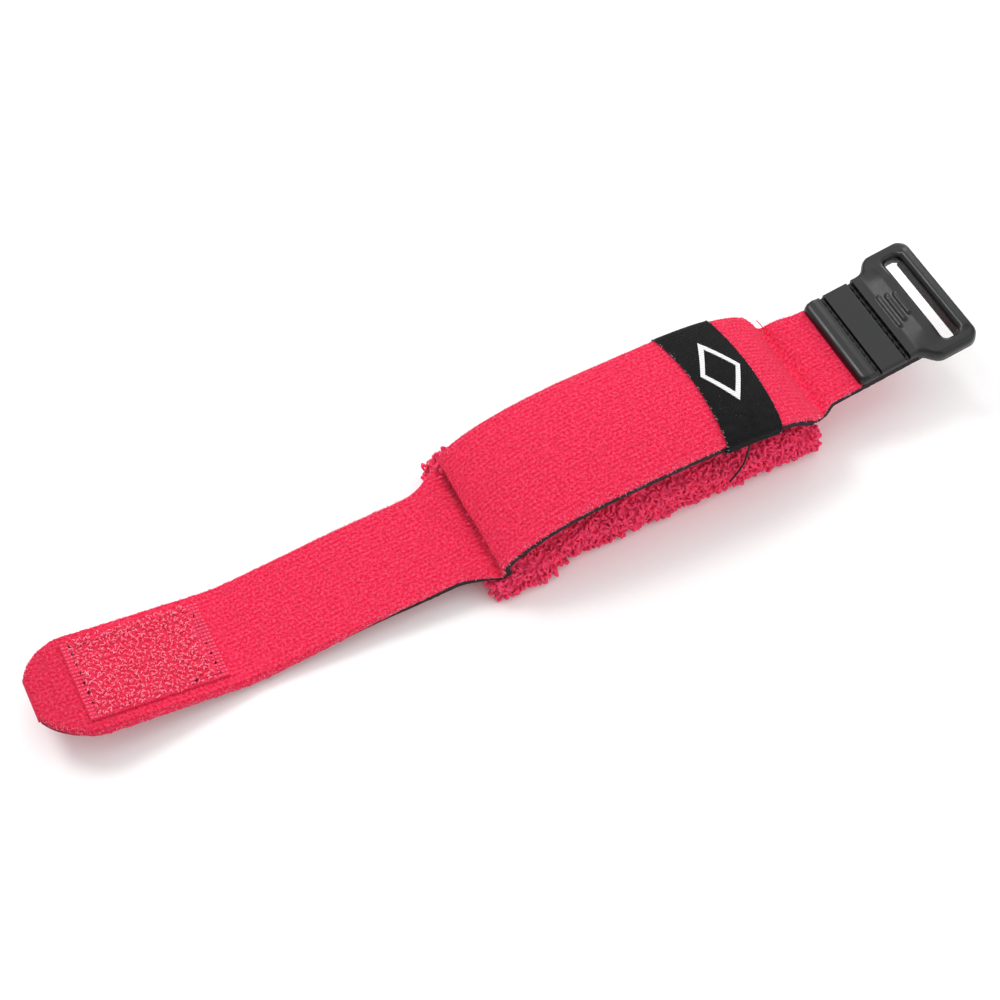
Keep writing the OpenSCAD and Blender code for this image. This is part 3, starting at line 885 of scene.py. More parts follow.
def face_cloth(stretch):
    """The knit face of a stretch: ribbed, its edges rolled over the foam, with its thickness."""
    step_along, step_across = 0.5, mm(sizes().rib_pitch) / 5
    pitch, rib = mm(sizes().rib_pitch), mm(sizes().rib_height)
    start = stretch.from_s
    at_tip = stretch.name == "tip"
    # More cloth: rolled over the end of the tip, or lapped under the stretch before
    start -= 1.6 if at_tip else LAP
    length = stretch.to_s - start
    middle_x = LINE.point((stretch.from_s + stretch.to_s) / 2).x
    bm = bmesh.new()
    bmesh.ops.create_grid(bm, x_segments=round(length / step_along),
                          y_segments=round(2 * flat_half_width(middle_x) / step_across), size=0.5)
    flat = []
    for vert in bm.verts:
        s = start + (vert.co.x + 0.5) * length
        x = LINE.point(max(s, 0.0)).x
        q = vert.co.y * 2 * flat_half_width(x)
        y, drop = over_edge(q, x)
        if x > BUCKLE_BEND_X + TONGUE_FROM:
            y *= 0.965  # the tongue covers the face up to its edges
        if drop < 0:
            y += math.copysign(frayed(x, math.copysign(20, y)), y) * (1 - math.exp(4 * drop))
        if s < 1.0 and at_tip:
            # Roll the end of the tip down as the long edges are
            angle = min(1.0 - s, math.pi / 2)
            drop = min(drop, math.cos(angle) - 1 - max(0.0, 1.0 - s - math.pi / 2))
            s = 1.0 - math.sin(angle)
        lift = rib * 0.5 * (math.cos(math.tau * y / pitch) - 1)
        flat.append((s, q))
        vert.co = on_strap(max(s, 0.0), y, drop + lift)
    bm.verts.index_update()
    set_uvs(bm, flat)
    bmesh.ops.recalc_face_normals(bm, faces=bm.faces)
    if sum(f.normal.z for f in bm.faces) < 0:
        bmesh.ops.reverse_faces(bm, faces=bm.faces)
    bmesh.ops.solidify(bm, geom=bm.faces[:], thickness=FACE_T)
    bmesh.ops.recalc_face_normals(bm, faces=bm.faces)
    return bm


def under_edge(x):
    """How far the foam's cut side lies in from the strap's edge, where the face is rolled over it."""
    return 0.08 + FACE_T * (1 - smoothstep((x + 96) / 46))


def core_slab(stretch, top, bottom, inset, rough, rows=4):
    """A slab of the laminate between two depths below the face, its cut sides roughened."""
    start = stretch.from_s - LAP
    length = stretch.to_s - start
    bm = gridded_block((round(length / 0.9), 30, rows))
    flat = []
    for vert in bm.verts:
        s = start + (vert.co.x + 0.5) * length
        if stretch.name == "tip":
            s = max(s, 0.5)
        x = LINE.point(s).x
        depth = top + (0.5 - vert.co.z) * (bottom - top)
        half = half_width(x) - inset(x)
        y = vert.co.y * 2 * half
        if abs(vert.co.y) > 0.499:
            y += math.copysign(rough * noise.noise(Vector((x * 1.7, y, depth * 1.5))), y)
        flat.append((s, y))
        vert.co = on_strap(s, y, -depth)
    bm.verts.index_update()
    set_uvs(bm, flat)
    bmesh.ops.recalc_face_normals(bm, faces=bm.faces)
    return bm


def cut_size(stretch, half):
    """The width and length that a cloth is cut to along a stretch, and its area, in metres."""
    steps = 40
    length = stretch.to_s - stretch.from_s + LAP
    places = [stretch.from_s - LAP + length * (i + 0.5) / steps for i in range(steps)]
    widths = [2 * half(LINE.point(s).x) * MM for s in places]
    return (max(widths), length * MM), sum(widths) / steps * length * MM


class WRAPSTRAP_OT_strap(bpy.types.Operator):
    """Build the laminated strap: knit face, foam core and knit lining, in five stretches"""

    bl_idname = "wrap_strap.strap"
    bl_label = "Strap"

    def execute(self, context):
        face = brushed_knit("brushed_knit_face", colours().knit)
        lining = brushed_knit("brushed_knit_lining", colours().lining)
        foam = cut_foam("cut_black_foam", colours().foam)
        for stretch in STRETCHES:
            cloth = piece(face_cloth(stretch), stretch.name + "_knit", face,
                          stretch.body, [stretch.name + "_face"], stretch.blend)
            flat, area = cut_size(stretch, flat_half_width)
            core = core_slab(stretch, FACE_T, FACE_T + FOAM_T, under_edge, 0.16)
            core = piece(core, stretch.name + "_core", foam, stretch.body,
                         [stretch.name + "_foam"], stretch.blend)
            back = core_slab(stretch, FACE_T + FOAM_T, STRAP_T, lambda x: LINING_INSET, 0.12, rows=1)
            back = piece(back, stretch.name + "_back", lining, stretch.body,
                         [stretch.name + "_lining"], stretch.blend)
            flat, area = cut_size(stretch, lambda x: half_width(x) - LINING_INSET)
        return {"FINISHED"}


class WRAPSTRAP_OT_nap(bpy.types.Operator):
    """Raise the loose fibres of the brushed knit along the strap's edges"""

    bl_idname = "wrap_strap.nap"
    bl_label = "Nap"

    def execute(self, context):
        draw = random.Random(11)
        material = loose_fibre("brushed_fibre", linear("#FF809D"))
        hair = bmesh.new()
        bmesh.ops.create_cone(hair, cap_ends=True, segments=3, radius1=0.08, radius2=0.04, depth=1)
        bmesh.ops.translate(hair, verts=hair.verts, vec=(0, 0, 0.5))
        for stretch in STRETCHES:
            places = []
            count = round((stretch.to_s - stretch.from_s) / 10 * sizes().fibres)
            for i in range(count):
                s = draw.uniform(stretch.from_s + 0.3, stretch.to_s - 0.3)
                x = LINE.point(s).x
                bare = x > TAIL_FLARE_X and draw.random() < 0.3
                labelled = LABEL_X - 1 < x < LABEL_X + LABEL_LEN + 2
                if bare or labelled or x > BUCKLE_BEND_X + TONGUE_FROM - 1:
                    continue
                q = draw.choice((-1, 1)) * (flat_half_width(x) - abs(draw.gauss(0, 0.9)))
                y, drop = over_edge(q, x)
                root = on_strap(s, y, drop)
                out = Vector((draw.gauss(0, 0.8), math.copysign(draw.uniform(0.4, 1), y),
                              draw.uniform(-0.2, 1.0)))
                tall = draw.uniform(0.15, 0.45)
                if x > TAIL_FLARE_X and y < 0:
                    # The cut edge's fibres hang over the foam
                    out.z = draw.uniform(-1.2, 0.2)
                    tall = draw.uniform(0.25, 0.7)
                places.append((0, stand(root, out.normalized(), 0, (1, 1, tall))))
            piece(scatter([hair], places), stretch.name + "_nap", material,
                  stretch.body, (), stretch.blend)
        hair.free()
        return {"FINISHED"}


# ---- Terry pad -----------------------------------------------------------------------------------

PAD_HALF = 44.5
PAD_HALF_W = 17.2
PAD_MID_T = 11.6
LOOP_ROOM = 1.0  # how far the cloth lies inside the pad's outer form, to leave its loops room
NEAR_BULGE = 2.5  # how far the swollen cloth bulges out to the near side, beside the tail seam
FAR_BULGE = 4.4  # and how far to the far side


def pad_top_z(x, inset):
    half = PAD_HALF - inset
    u = min(1.0, abs(x) / half)
    mid = (TAIL_SEAM_Z + BUCKLE_SEAM_Z) / 2
    drop = STRAP_T + 0.1
    return seam_line_z(x) - drop - inset + (PAD_MID_T - mid + drop) * (1 - u * u) ** 0.7


def strap_underside_z(x):
    """The underside of the strap at x, under the middle of its width."""
    point, normal = LINE.at(LINE.length_at(x))
    return point.y - STRAP_T * normal.y


def swollen(bm, voxel, cap):
    """Blows a closed cloth form up a little by simulation; lengths are in millimetres."""
    scale = 0.01  # the cloth solver works on a form ten times the real size
    holder = loose_object(bm, "swelling_form")
    holder.data.transform(Matrix.Scale(scale, 4))
    remesh = holder.modifiers.new("remesh", "REMESH")
    remesh.mode = "VOXEL"
    remesh.voxel_size = voxel * scale
    bm = applied(holder)
    start = [v.co.copy() for v in bm.verts]
    holder = loose_object(bm, "swelling_cloth")
    cloth = holder.modifiers.new("cloth", "CLOTH")
    cloth.settings.use_pressure = True
    cloth.settings.uniform_pressure_force = 4
    cloth.settings.effector_weights.gravity = 0
    cloth.point_cache.frame_start = 1
    cloth.point_cache.frame_end = 20
    for step in range(1, 21):
        bpy.context.scene.frame_set(step)
    bm = applied(holder)
    bpy.context.scene.frame_set(1)
    for vert, old in zip(bm.verts, start):
        move = vert.co - old
        if move.length > cap * scale:
            vert.co = old + move.normalized() * cap * scale
    bmesh.ops.scale(bm, vec=(1 / scale,) * 3, verts=bm.verts)
    return bm


def terry_ground():
    """The pad's cloth under its loops: a swollen form, flat below, with a fold along its sides."""
    bm = gridded_block((44, 16, 7))
    half, half_w = PAD_HALF - LOOP_ROOM, PAD_HALF_W - LOOP_ROOM
    for vert in bm.verts:
        x = math.sin(vert.co.x * math.pi) * half
        top = max(pad_top_z(x, LOOP_ROOM) - 0.3, 2.4)
        vert.co = (x, vert.co.y * 2 * half_w, 1.0 + (vert.co.z + 0.5) * (top - 1.0))
    for sweep in range(4):
        bmesh.ops.smooth_vert(bm, verts=bm.verts, factor=0.5, use_axis_y=True, use_axis_z=True)
    bm = swollen(bm, 2.2, 0.7)
    bmesh.ops.subdivide_edges(bm, edges=bm.edges, cuts=1, use_grid_fill=True, smooth=0.6)
    for vert in bm.verts:
        x, y, z = vert.co
        # The cover's long fold, deepest towards the tail
        deep = 1.5 * smoothstep((10 - x) / 40) * math.exp(-((z - 4.6 - 0.02 * x) / 0.9) ** 2)
        if abs(y) > half_w * 0.8:
            vert.co.y -= math.copysign(deep, y)
        # The cushion bulges out at its two corners beside the tail seam
        near = smoothstep((-23 - x) / 8) * smoothstep((x + 45) / 5)
        if y < -half_w * 0.5:
            vert.co.y -= NEAR_BULGE * near * smoothstep((8 - z) / 4)
        elif y > half_w * 0.5:
            vert.co.y += FAR_BULGE * smoothstep((-30 - x) / 4) * smoothstep((z - 2) / 3)
        vert.co.z = max(vert.co.z, 0.9)
        if abs(vert.co.y) < half_width(x) + 0.4:
            vert.co.z = min(vert.co.z, strap_underside_z(x) - 0.5)
    return bm


# The five curls of yarn: half width, height, twist and sideways curl
CURLS = (
    (0.52, 1.0, 0.2, 0.0), (0.44, 1.1, 0.5, 0.3), (0.62, 0.85, -0.35, 0.1),
    (0.40, 0.95, 0.7, 0.5), (0.56, 1.05, -0.6, -0.3),
)


def loop_templates():
    """Curls of looped yarn: short tubes that rise, turn over and come down, some of them twisted."""
    radius, height = mm(sizes().yarn_radius), mm(sizes().loop_height)
    templates = []
    for width, tall, twist, curl in CURLS:
        route = []
        for i in range(6):
            t = i / 5
            angle = math.pi * (1.15 * t - 0.075)
            rise = (height * tall - radius) * max(math.sin(angle), -0.1) ** 0.8 if 0 < t < 1 else -0.2
            aside = twist * (t - 0.5) * 1.4 + curl * math.sin(angle) * 0.5
            route.append(Vector((-width * math.cos(angle), aside, rise)))
        templates.append(tube(route, radius, 4, smoothness=2))
    return templates


class WRAPSTRAP_OT_terry_pad(bpy.types.Operator):
    """Build the padded terry cover, its cloth swollen by simulation and covered with yarn loops"""

    bl_idname = "wrap_strap.terry_pad"
    bl_label = "Terry pad"

    def execute(self, context):
        draw = random.Random(3)
        ground = terry_ground()
        ground.normal_update()
        templates = loop_templates()
        places = []
        for vert in ground.verts:
            normal = vert.normal.copy()
            spread = Vector([draw.uniform(-0.5, 0.5) for axis in range(3)])
            root = vert.co + (spread - normal * spread.dot(normal)) - normal * 0.4
            up = (normal + Vector([draw.gauss(0, 0.5) for axis in range(3)])).normalized()
            tall = draw.uniform(0.7, 1.1)
            if draw.random() < 0.03:
                tall *= 1.3
            if vert.co.x < -33 and vert.co.y > 12 and draw.random() < 0.45:
                tall *= 1.6  # pulled loops beside the tail seam
            if normal.z < -0.6:
                tall *= 0.55
            wide = draw.uniform(0.85, 1.3)
            k = draw.randrange(len(templates))
            places.append((k, stand(root, up, draw.uniform(0, math.tau), (wide, wide, tall))))
        loops = scatter(templates, places)
        cover = bmesh.new()
        cover.from_mesh(loops)
        for vert in cover.verts:
            vert.co.z = max(vert.co.z, 0.03)
            if abs(vert.co.x) > 28 and abs(vert.co.y) < half_width(vert.co.x) + 0.3:
                vert.co.z = min(vert.co.z, strap_underside_z(vert.co.x) - 0.08)
        base = bpy.data.meshes.new("base")
        ground.to_mesh(base)
        ground.free()
        cover.from_mesh(base)
        for template in templates:
            template.free()
        pad = piece(cover, "terry_pad", spun_yarn("looped_terry", colours().terry),
                    "middle", ["terry_cover"], sharp=180)
        self.add_core()
        return {"FINISHED"}

    def add_core(self):
        """The foam block inside the cover, rounded like it."""
        bm = gridded_block((20, 8, 4))
        inset = LOOP_ROOM + 1.0
        for vert in bm.verts:
            x = math.sin(vert.co.x * math.pi) * (PAD_HALF - inset)
            top = max(pad_top_z(x, inset) - 0.8, 2.6)
            half_w = PAD_HALF_W - inset - 0.6
            vert.co = (x, vert.co.y * 2 * half_w, 2.0 + (vert.co.z + 0.5) * (top - 2.0))
        for sweep in range(3):
            bmesh.ops.smooth_vert(bm, verts=bm.verts, factor=0.5, use_axis_y=True, use_axis_z=True)
        core = piece(bm, "pad_foam_block", cut_foam("pad_foam", linear("#4A4648")), "middle",
                     ["pad_core"])


# ---- Woven label ---------------------------------------------------------------------------------

LABEL_X = 15.8
LABEL_LEN = 14.4
LABEL_T = 0.35
LABEL_SLACK = 0.75  # how far its cloth is rumpled above its near fold
FRAY_ROOM = 0.3  # the label passes this far outside the strap's frayed edge
MOTIF_Y = 1.5
MOTIF_LONG = 9.2
MOTIF_SHORT = 5.2
MOTIF_STROKE = 1.15


def bow(y, half):
    """How far the label's edges are bowed towards the buckle at y."""
    return 1.5 * (1 - (y / half) ** 2) - 0.2


class WRAPSTRAP_OT_label(bpy.types.Operator):
    """Build the woven label, folded round the strap, with a plain lozenge and frayed edges"""

    bl_idname = "wrap_strap.label"
    bl_label = "Label"

    def execute(self, context):
        self.from_s = LINE.length_at(LABEL_X)
        self.to_s = LINE.length_at(LABEL_X + LABEL_LEN)
        half = half_width(LABEL_X)
        around = self.wrap_length(half)
        bm = bmesh.new()
        bmesh.ops.create_grid(bm, x_segments=36, y_segments=150, size=0.5)
        flat = []
        for vert in bm.verts:
            w = (vert.co.y + 0.5) * around
            s = self.from_s + (vert.co.x + 0.5) * (self.to_s - self.from_s)
            flat.append((s, w))
            vert.co = self.on_label(s, w, half)
        bm.verts.index_update()
        set_uvs(bm, flat)
        bmesh.ops.solidify(bm, geom=bm.faces[:], thickness=LABEL_T)
        bmesh.ops.recalc_face_normals(bm, faces=bm.faces)
        satin = label_satin("label_satin", colours().label)
        label = piece(bm, "folded_label", satin, "middle", ["woven_label"])
        self.add_motif(half)
        self.add_fray(half, around)
        return {"FINISHED"}

    def wrap_length(self, half):
        """The label's length: once round the strap, with its ends lapped under the middle."""
        return 4 * half + 2 * STRAP_T + 4

    def on_label(self, s, w, half):
        """The place of a point at length s of the strap, w along the label from its hidden end."""
        gap = 0.06 + LABEL_T
        radius = 1.3
        half += FRAY_ROOM
        turn, flat_side = radius * math.pi / 2, STRAP_T + 2 * gap - 2 * radius
        flat_top = 2 * (half + gap - radius)
        w -= half  # now 0 where the hidden half meets the far fold
        if w < 0:
            y, height = half + gap - radius + w, -STRAP_T - gap
        elif w < 2 * turn + flat_side:
            v = 2 * turn + flat_side - w
            y, height = self.fold(v, turn, flat_side, radius, gap, half)
        else:
            w -= 2 * turn + flat_side
            if w < flat_top:
                # Slack in the cloth above its near fold
                slack = smoothstep((w / flat_top - 0.68) / 0.2) * smoothstep((flat_top - w) / 2)
                rumple = abs(noise.noise(Vector((s * 0.3, w * 0.32, 3.0))))
                y, height = half + gap - radius - w, gap + LABEL_SLACK * slack * rumple
            else:
                w -= flat_top
                y, height = self.fold(w, turn, flat_side, radius, gap, half)
                y = -y
                if w > 2 * turn + flat_side:
                    under = w - 2 * turn - flat_side
                    y = -(half + gap - radius) + under
                    height = -STRAP_T - gap - 0.45 * smoothstep((under - half + 6) / 4)
        return on_strap(s + bow(y, half), y, height)

    def fold(self, w, turn, flat_side, radius, gap, half):
        """Round one edge of the strap from above to below: y on the far side, and the height."""
        centre_y, top = half + gap - radius, gap - radius
        if w < turn:
            return centre_y + radius * math.sin(w / radius), top + radius * math.cos(w / radius)
        if w < turn + flat_side:
            return centre_y + radius, top - (w - turn)
        angle = min((w - turn - flat_side) / radius, math.pi / 2)
        return centre_y + radius * math.cos(angle), top - flat_side - radius * math.sin(angle)

    def add_motif(self, half):
        """A plain upright lozenge in raised white yarn."""
        centre_s = (self.from_s + self.to_s) / 2
        bm = bmesh.new()
        edges = []
        for inset in (0, MOTIF_STROKE):
            ring = bmesh.ops.create_circle(bm, segments=4, radius=1)["verts"]
            bmesh.ops.scale(bm, verts=ring, vec=(MOTIF_SHORT - inset, MOTIF_LONG - 2 * inset, 1))
            edges += [e for e in bm.edges if all(v in ring for v in e.verts)]
        bmesh.ops.bridge_loops(bm, edges=edges)
        bmesh.ops.subdivide_edges(bm, edges=bm.edges[:], cuts=11, use_grid_fill=True)
        bmesh.ops.recalc_face_normals(bm, faces=bm.faces)
        if bm.faces[0].normal.z < 0:
            bmesh.ops.reverse_faces(bm, faces=bm.faces)
        raised = bmesh.ops.extrude_face_region(bm, geom=bm.faces[:])
        top = [g for g in raised["geom"] if isinstance(g, bmesh.types.BMVert)]
        bmesh.ops.translate(bm, verts=top, vec=(0, 0, 0.22))
        for vert in bm.verts:
            s, y = centre_s + vert.co.x, MOTIF_Y + vert.co.y
            vert.co = on_strap(s + bow(y, half), y, 0.04 + LABEL_T + vert.co.z)
        bmesh.ops.recalc_face_normals(bm, faces=bm.faces)
        piece(bm, "lozenge_motif", sewing_thread("white_yarn", colours().motif, 0.6),
              "middle", ["label_motif"])

    def add_fray(self, half, around):
        """Short ends of cut thread along the label's two woven edges."""
        draw = random.Random(5)
        end = bmesh.new()
        bmesh.ops.create_cone(end, cap_ends=True, segments=5, radius1=0.09, radius2=0.05, depth=1)
        for shade, count in (("#2A292B", 150), ("#A9A3A8", 46)):
            places = []
            for i in range(count):
                side = draw.choice((self.from_s, self.from_s, self.to_s))
                w = draw.uniform(half + 4, around - half)
                root = self.on_label(side, w, half)
                ahead = -1 if side == self.from_s else 1
                out = Vector((ahead, draw.gauss(0, 0.8), draw.uniform(0.1, 0.8)))
                places.append((0, stand(root, out.normalized(), 0, (1, 1, draw.uniform(0.25, 0.6)))))
            name = "label_fray_dark" if shade == "#2A292B" else "label_fray_pale"
            piece(scatter([end], places), name, sewing_thread(name, linear(shade), 0.7),
                  "middle")
        end.free()


# ---- Threads and seams ---------------------------------------------------------------------------

# The loose end of the label's sewing thread, point by point as in the frame
THREAD_ROUTE = ((21.5, -17.1, 18.6), (20.4, -18.2, 15.6), (18.4, -19.0, 13.0), (15.8, -19.4, 10.8))
THREAD_R = 0.25


def stitch():
    """One stitch of thread, pulled down at both ends."""
    bm = bmesh.new()
    bmesh.ops.create_uvsphere(bm, u_segments=8, v_segments=6, radius=0.5)
    bmesh.ops.rotate(bm, verts=bm.verts, cent=(0, 0, 0), matrix=Matrix.Rotation(math.pi / 2, 3, "Y"))
    for vert in bm.verts:
        vert.co.z -= 0.5 * vert.co.x ** 2
    return bm


def stitch_row(place, start, end, pitch, radius, draw):
    """Matrices for stitches from start to end along Y, where place(y) is a point and its up."""
    count = max(1, round(abs(end - start) / pitch))
    rows = []
    for i in range(count):
        y = start + (end - start) * (i + 0.5) / count
        point, up, along = place(y)
        long = pitch * draw.uniform(0.72, 0.86)
        turn = Matrix.Rotation(draw.gauss(0, 0.06), 4, "Z")
        rows.append((0, laid(point, up, along) @ turn
                     @ Matrix.Diagonal((long, 2 * radius, 2 * radius, 1))))
    return rows


class WRAPSTRAP_OT_seams(bpy.types.Operator):
    """Sew the two seams that hold the strap down to the pad, and add the loose thread ends"""

    bl_idname = "wrap_strap.seams"
    bl_label = "Seams"

    def execute(self, context):
        draw = random.Random(8)
        pink = sewing_thread("pink_thread", colours().pink_thread)
        pitch = mm(sizes().stitch_pitch)
        one = stitch()
        for name, x, node in (("tail_seam", TAIL_SEAM_X, "tail_seam_thread"),
                              ("buckle_seam", BUCKLE_SEAM_X, "buckle_seam_thread")):
            s = LINE.length_at(x)
            reach = half_width(x) - 1.2

            def place(y, s=s):
                ahead = on_strap(s, y + 0.2, 0) - on_strap(s, y - 0.2, 0)
                return on_strap(s, y, -0.12), Vector((0, 0, 1)), ahead.normalized()

            rows = stitch_row(place, -reach, reach, pitch, 0.2, draw)
            piece(scatter([one], rows), name + "_stitches", pink, "middle", [node])
        one.free()
        black = sewing_thread("black_thread", linear("#1A1A1B"))
        piece(tube([Vector(p) for p in THREAD_ROUTE], THREAD_R, 8), "loose_black_thread", black,
              "middle", ["label_thread_end"])
        root = on_strap(LINE.length_at(44.6), half_width(44.6) - 0.5, 0)
        wisp = [root + Vector(p) for p in ((0, 0, 0), (-0.5, 0.9, 0.9), (-1.2, 1.6, 1.9))]
        piece(tube(wisp, 0.11, 6), "loose_pink_thread", pink, "middle")
        return {"FINISHED"}


# ---- Hook patch ----------------------------------------------------------------------------------

TAPE_FROM_X = -133.0
TAPE_LEN = 30.4
TAPE_HALF_W = 10.0
TAPE_T = 0.7
SELVAGE = 2.2


def face_directions(s):
    """The strap's directions at length s: up from its face, and along it towards the buckle."""
    normal = LINE.at(s)[1]
    return Vector((normal.x, 0, normal.y)), Vector((normal.y, 0, -normal.x))


class WRAPSTRAP_OT_hook_patch(bpy.types.Operator):
    """Build the hook patch: woven tape with ribbed selvages, rows of hooks, and box stitching"""

    bl_idname = "wrap_strap.hook_patch"
    bl_label = "Hook patch"

    def execute(self, context):
        self.draw = random.Random(21)
        self.from_s = LINE.length_at(TAPE_FROM_X)
        self.to_s = LINE.length_at(TAPE_FROM_X + TAPE_LEN)
        self.add_ground()
        self.add_selvages()
        self.add_hooks()
        self.add_stitches()
        return {"FINISHED"}

    def add_ground(self):
        bm = gridded_block((60, 40, 2))
        flat = []
        length = self.to_s - self.from_s
        for vert in bm.verts:
            s = self.from_s + (vert.co.x + 0.5) * length
            y = vert.co.y * 2 * TAPE_HALF_W
            stray = 0.12 * noise.noise(Vector((s * 0.8, y * 0.8, 1.0)))
            if abs(vert.co.x) > 0.499:
                s += stray
            if abs(vert.co.y) > 0.499:
                y += stray
            flat.append((s, y))
            rise = (vert.co.z + 0.5) * TAPE_T * 0.75
            rise += 0.12 * noise.noise(Vector((s * 0.5, y * 0.5, 4.0)))
            vert.co = on_strap(s, y, max(rise, 0.02))
        bm.verts.index_update()
        set_uvs(bm, flat)
        bmesh.ops.recalc_face_normals(bm, faces=bm.faces)
        material = label_satin("hook_tape_ground", colours().hook_tape, 0.9)
        tape = piece(bm, "woven_hook_tape", material, "tip", ["hook_tape"])

    def add_selvages(self):
        """Ribbed bands at the tape's two ends, in short raised threads."""
        one = stitch()
        places = []
        for column in range(3):
            for end_s in (self.from_s + 0.45 + column * 0.84, self.to_s - 0.45 - column * 0.84):
                for i in range(22):
                    y = -TAPE_HALF_W + 0.4 + i * (2 * TAPE_HALF_W - 0.8) / 21
                    place = on_strap(end_s, y + self.draw.gauss(0, 0.03), TAPE_T * 0.9)
                    size = (self.draw.uniform(0.7, 0.82), 0.52, 0.5)
                    lying = laid(place, *face_directions(end_s))
                    places.append((0, lying @ Matrix.Diagonal((*size, 1))))
        one_piece = scatter([one], places)
        one.free()
        material = loose_fibre("selvage_thread", linear("#FA5F7C"))
        piece(one_piece, "tape_selvages", material, "tip")

    def hook_templates(self):
        """Hooks of bent monofilament: a stem that turns over and points back down."""
        height = mm(sizes().hook_height)
        templates = []
        for reach, drop, lean in ((0.45, 0.35, 0.0), (0.62, 0.15, 0.25), (0.3, 0.55, -0.3)):
            route = [(0, 0, -0.1), (0.02, 0, height * 0.6), (0.08, lean * 0.4, height * 0.95),
                     (reach * 0.6, lean, height), (reach, lean, height * (1 - drop))]
            templates.append(tube([Vector(p) for p in route], 0.105, 4))
        return templates

    def add_hooks(self):
        pitch = mm(sizes().hook_pitch)
        templates = self.hook_templates()
        places = []
        # The hooks stop short of the far selvage, which they would hide
        rows = round((self.to_s - self.from_s - 2 * SELVAGE - 1.0) / pitch)
        columns = round((2 * TAPE_HALF_W - 1.0) / pitch)
        for row in range(rows + 1):
            for column in range(columns + 1):
                s = self.from_s + SELVAGE + row * pitch + self.draw.gauss(0, 0.14)
                y = -TAPE_HALF_W + 0.5 + column * pitch + self.draw.gauss(0, 0.14)
                lean = Vector([self.draw.gauss(0, 0.3) for axis in range(3)])
                up = face_directions(s)[0] + lean
                tall = self.draw.uniform(0.7, 1.1)
                where = on_strap(s, min(max(y, 0.3 - TAPE_HALF_W), TAPE_HALF_W - 0.3), TAPE_T * 0.7)
                places.append((self.draw.randrange(3), stand(
                    where, up.normalized(), self.draw.uniform(0, math.tau), (1.15, 1.15, tall))))
        mesh = scatter(templates, places)
        for template in templates:
            template.free()
        piece(mesh, "tape_hooks", hook_monofilament("hook_monofilament", colours().hooks),
              "tip", ["hook_field"])

    def add_stitches(self):
        one = stitch()
        pitch = mm(sizes().stitch_pitch)
        rows, holes = [], []
        inset = SELVAGE * 0.85
        reach = TAPE_HALF_W - 1.3
        for s in (self.from_s + inset, self.to_s - inset):
            def place(y, s=s):
                return on_strap(s, y, TAPE_T * 0.9), face_directions(s)[0], Vector((0, 1, 0))
            rows += stitch_row(place, -reach, reach, pitch, 0.2, self.draw)
            holes += [(s, -reach + i * pitch) for i in range(int(2 * reach / pitch) + 1)]
        long = self.to_s - self.from_s - 2 * inset
        count = round(long / pitch)
        for y in (-reach, reach):
            for i in range(count):
                s = self.from_s + inset + (i + 0.5) * long / count
                lying = laid(on_strap(s, y, TAPE_T * 0.9), *face_directions(s))
                rows.append((0, lying @ Matrix.Diagonal((pitch * 0.8, 0.4, 0.4, 1))))
                holes.append((s - long / count / 2, y))
        pink = sewing_thread("patch_thread", linear("#E83A5C"))
        piece(scatter([one], rows), "patch_stitches", pink, "tip", ["hook_tape_thread"])
        one.free()
        # Painted shade: small dark flattened dots on the tape stand for the shade down in the needle
        # holes
        hole_shade_dot = bmesh.new()
        bmesh.ops.create_uvsphere(hole_shade_dot, u_segments=8, v_segments=4, radius=0.5)
        dark = cut_foam("needle_hole", linear("#5A0A1C"))
        hole_shade_spots = []
        for s, y in holes:
            at_end = min(s - self.from_s, self.to_s - s) < inset + 0.1
            if self.draw.random() < (0.4 if at_end else 0.88):
                continue
            size = self.draw.uniform(0.5, 1.0)
            hole_shade_spots.append((0, stand(on_strap(s, y, TAPE_T * 0.95), face_directions(s)[0], 0,
                                   (size, size * 0.8, 0.3))))
        piece(scatter([hole_shade_dot], hole_shade_spots), "needle_holes", dark, "tip")
        hole_shade_dot.free()


# ---- Buckle --------------------------------------------------------------------------------------

TONGUE_FROM = 7.0
TONGUE_HALF_W = 12.9
GROOVES = (12.1, 19.8)
GROOVE_FLOOR = 0.8
SLOT_FROM = 29.4
SLOT_TO = 33.4
SLOT_HALF_W = 13.0
SHOULDER = 24.4
FRAME_END = 37.2
FRAME_HALF_W = 16.5
FRAME_LOW = -1.2
FRAME_TOP = 2.3

# The tongue's top, from its rounded bead over the two sewn grooves to the saddle: (along, height)
TOP_PROFILE = (
    (7.0, 1.6), (8.5, 2.1), (9.6, 2.1), (10.9, 1.7), (11.6, 1.6), (11.7, GROOVE_FLOOR),
    (12.6, GROOVE_FLOOR), (12.75, 1.7), (19.2, 1.7), (19.3, GROOVE_FLOOR), (20.3, GROOVE_FLOOR),
    (20.4, 2.0), (22.5, 2.1), (26.5, 3.1), (28.6, 3.1), (29.4, 2.7), (30.0, FRAME_TOP),
)
GRIP_BARS = ((22.8, 5.2), (24.5, 4.4), (26.2, 3.6))


def box_distance(u, v, from_u, to_u, half_v, corner):
    """Distance from a round-cornered box in the buckle's plan, negative inside it."""
    du = abs(u - (from_u + to_u) / 2) - (to_u - from_u) / 2 + corner
    dv = abs(v) - half_v + corner
    return math.hypot(max(du, 0), max(dv, 0)) + min(max(du, dv), 0) - corner


def plan_distance(u, v):
    """Distance from the buckle's outline in plan, negative inside it, its inner corners filleted."""
    tongue = box_distance(u, v, TONGUE_FROM, SLOT_FROM, TONGUE_HALF_W, 1.6)
    ring = box_distance(u, v, SHOULDER, FRAME_END, FRAME_HALF_W, 3.2)
    slot = box_distance(u, v, SLOT_FROM, SLOT_TO, SLOT_HALF_W, 1.5)
    reach = 3.0
    fillet = max(reach - abs(tongue - ring), 0) ** 2 / (4 * reach)
    return max(min(tongue, ring) - fillet, -slot)


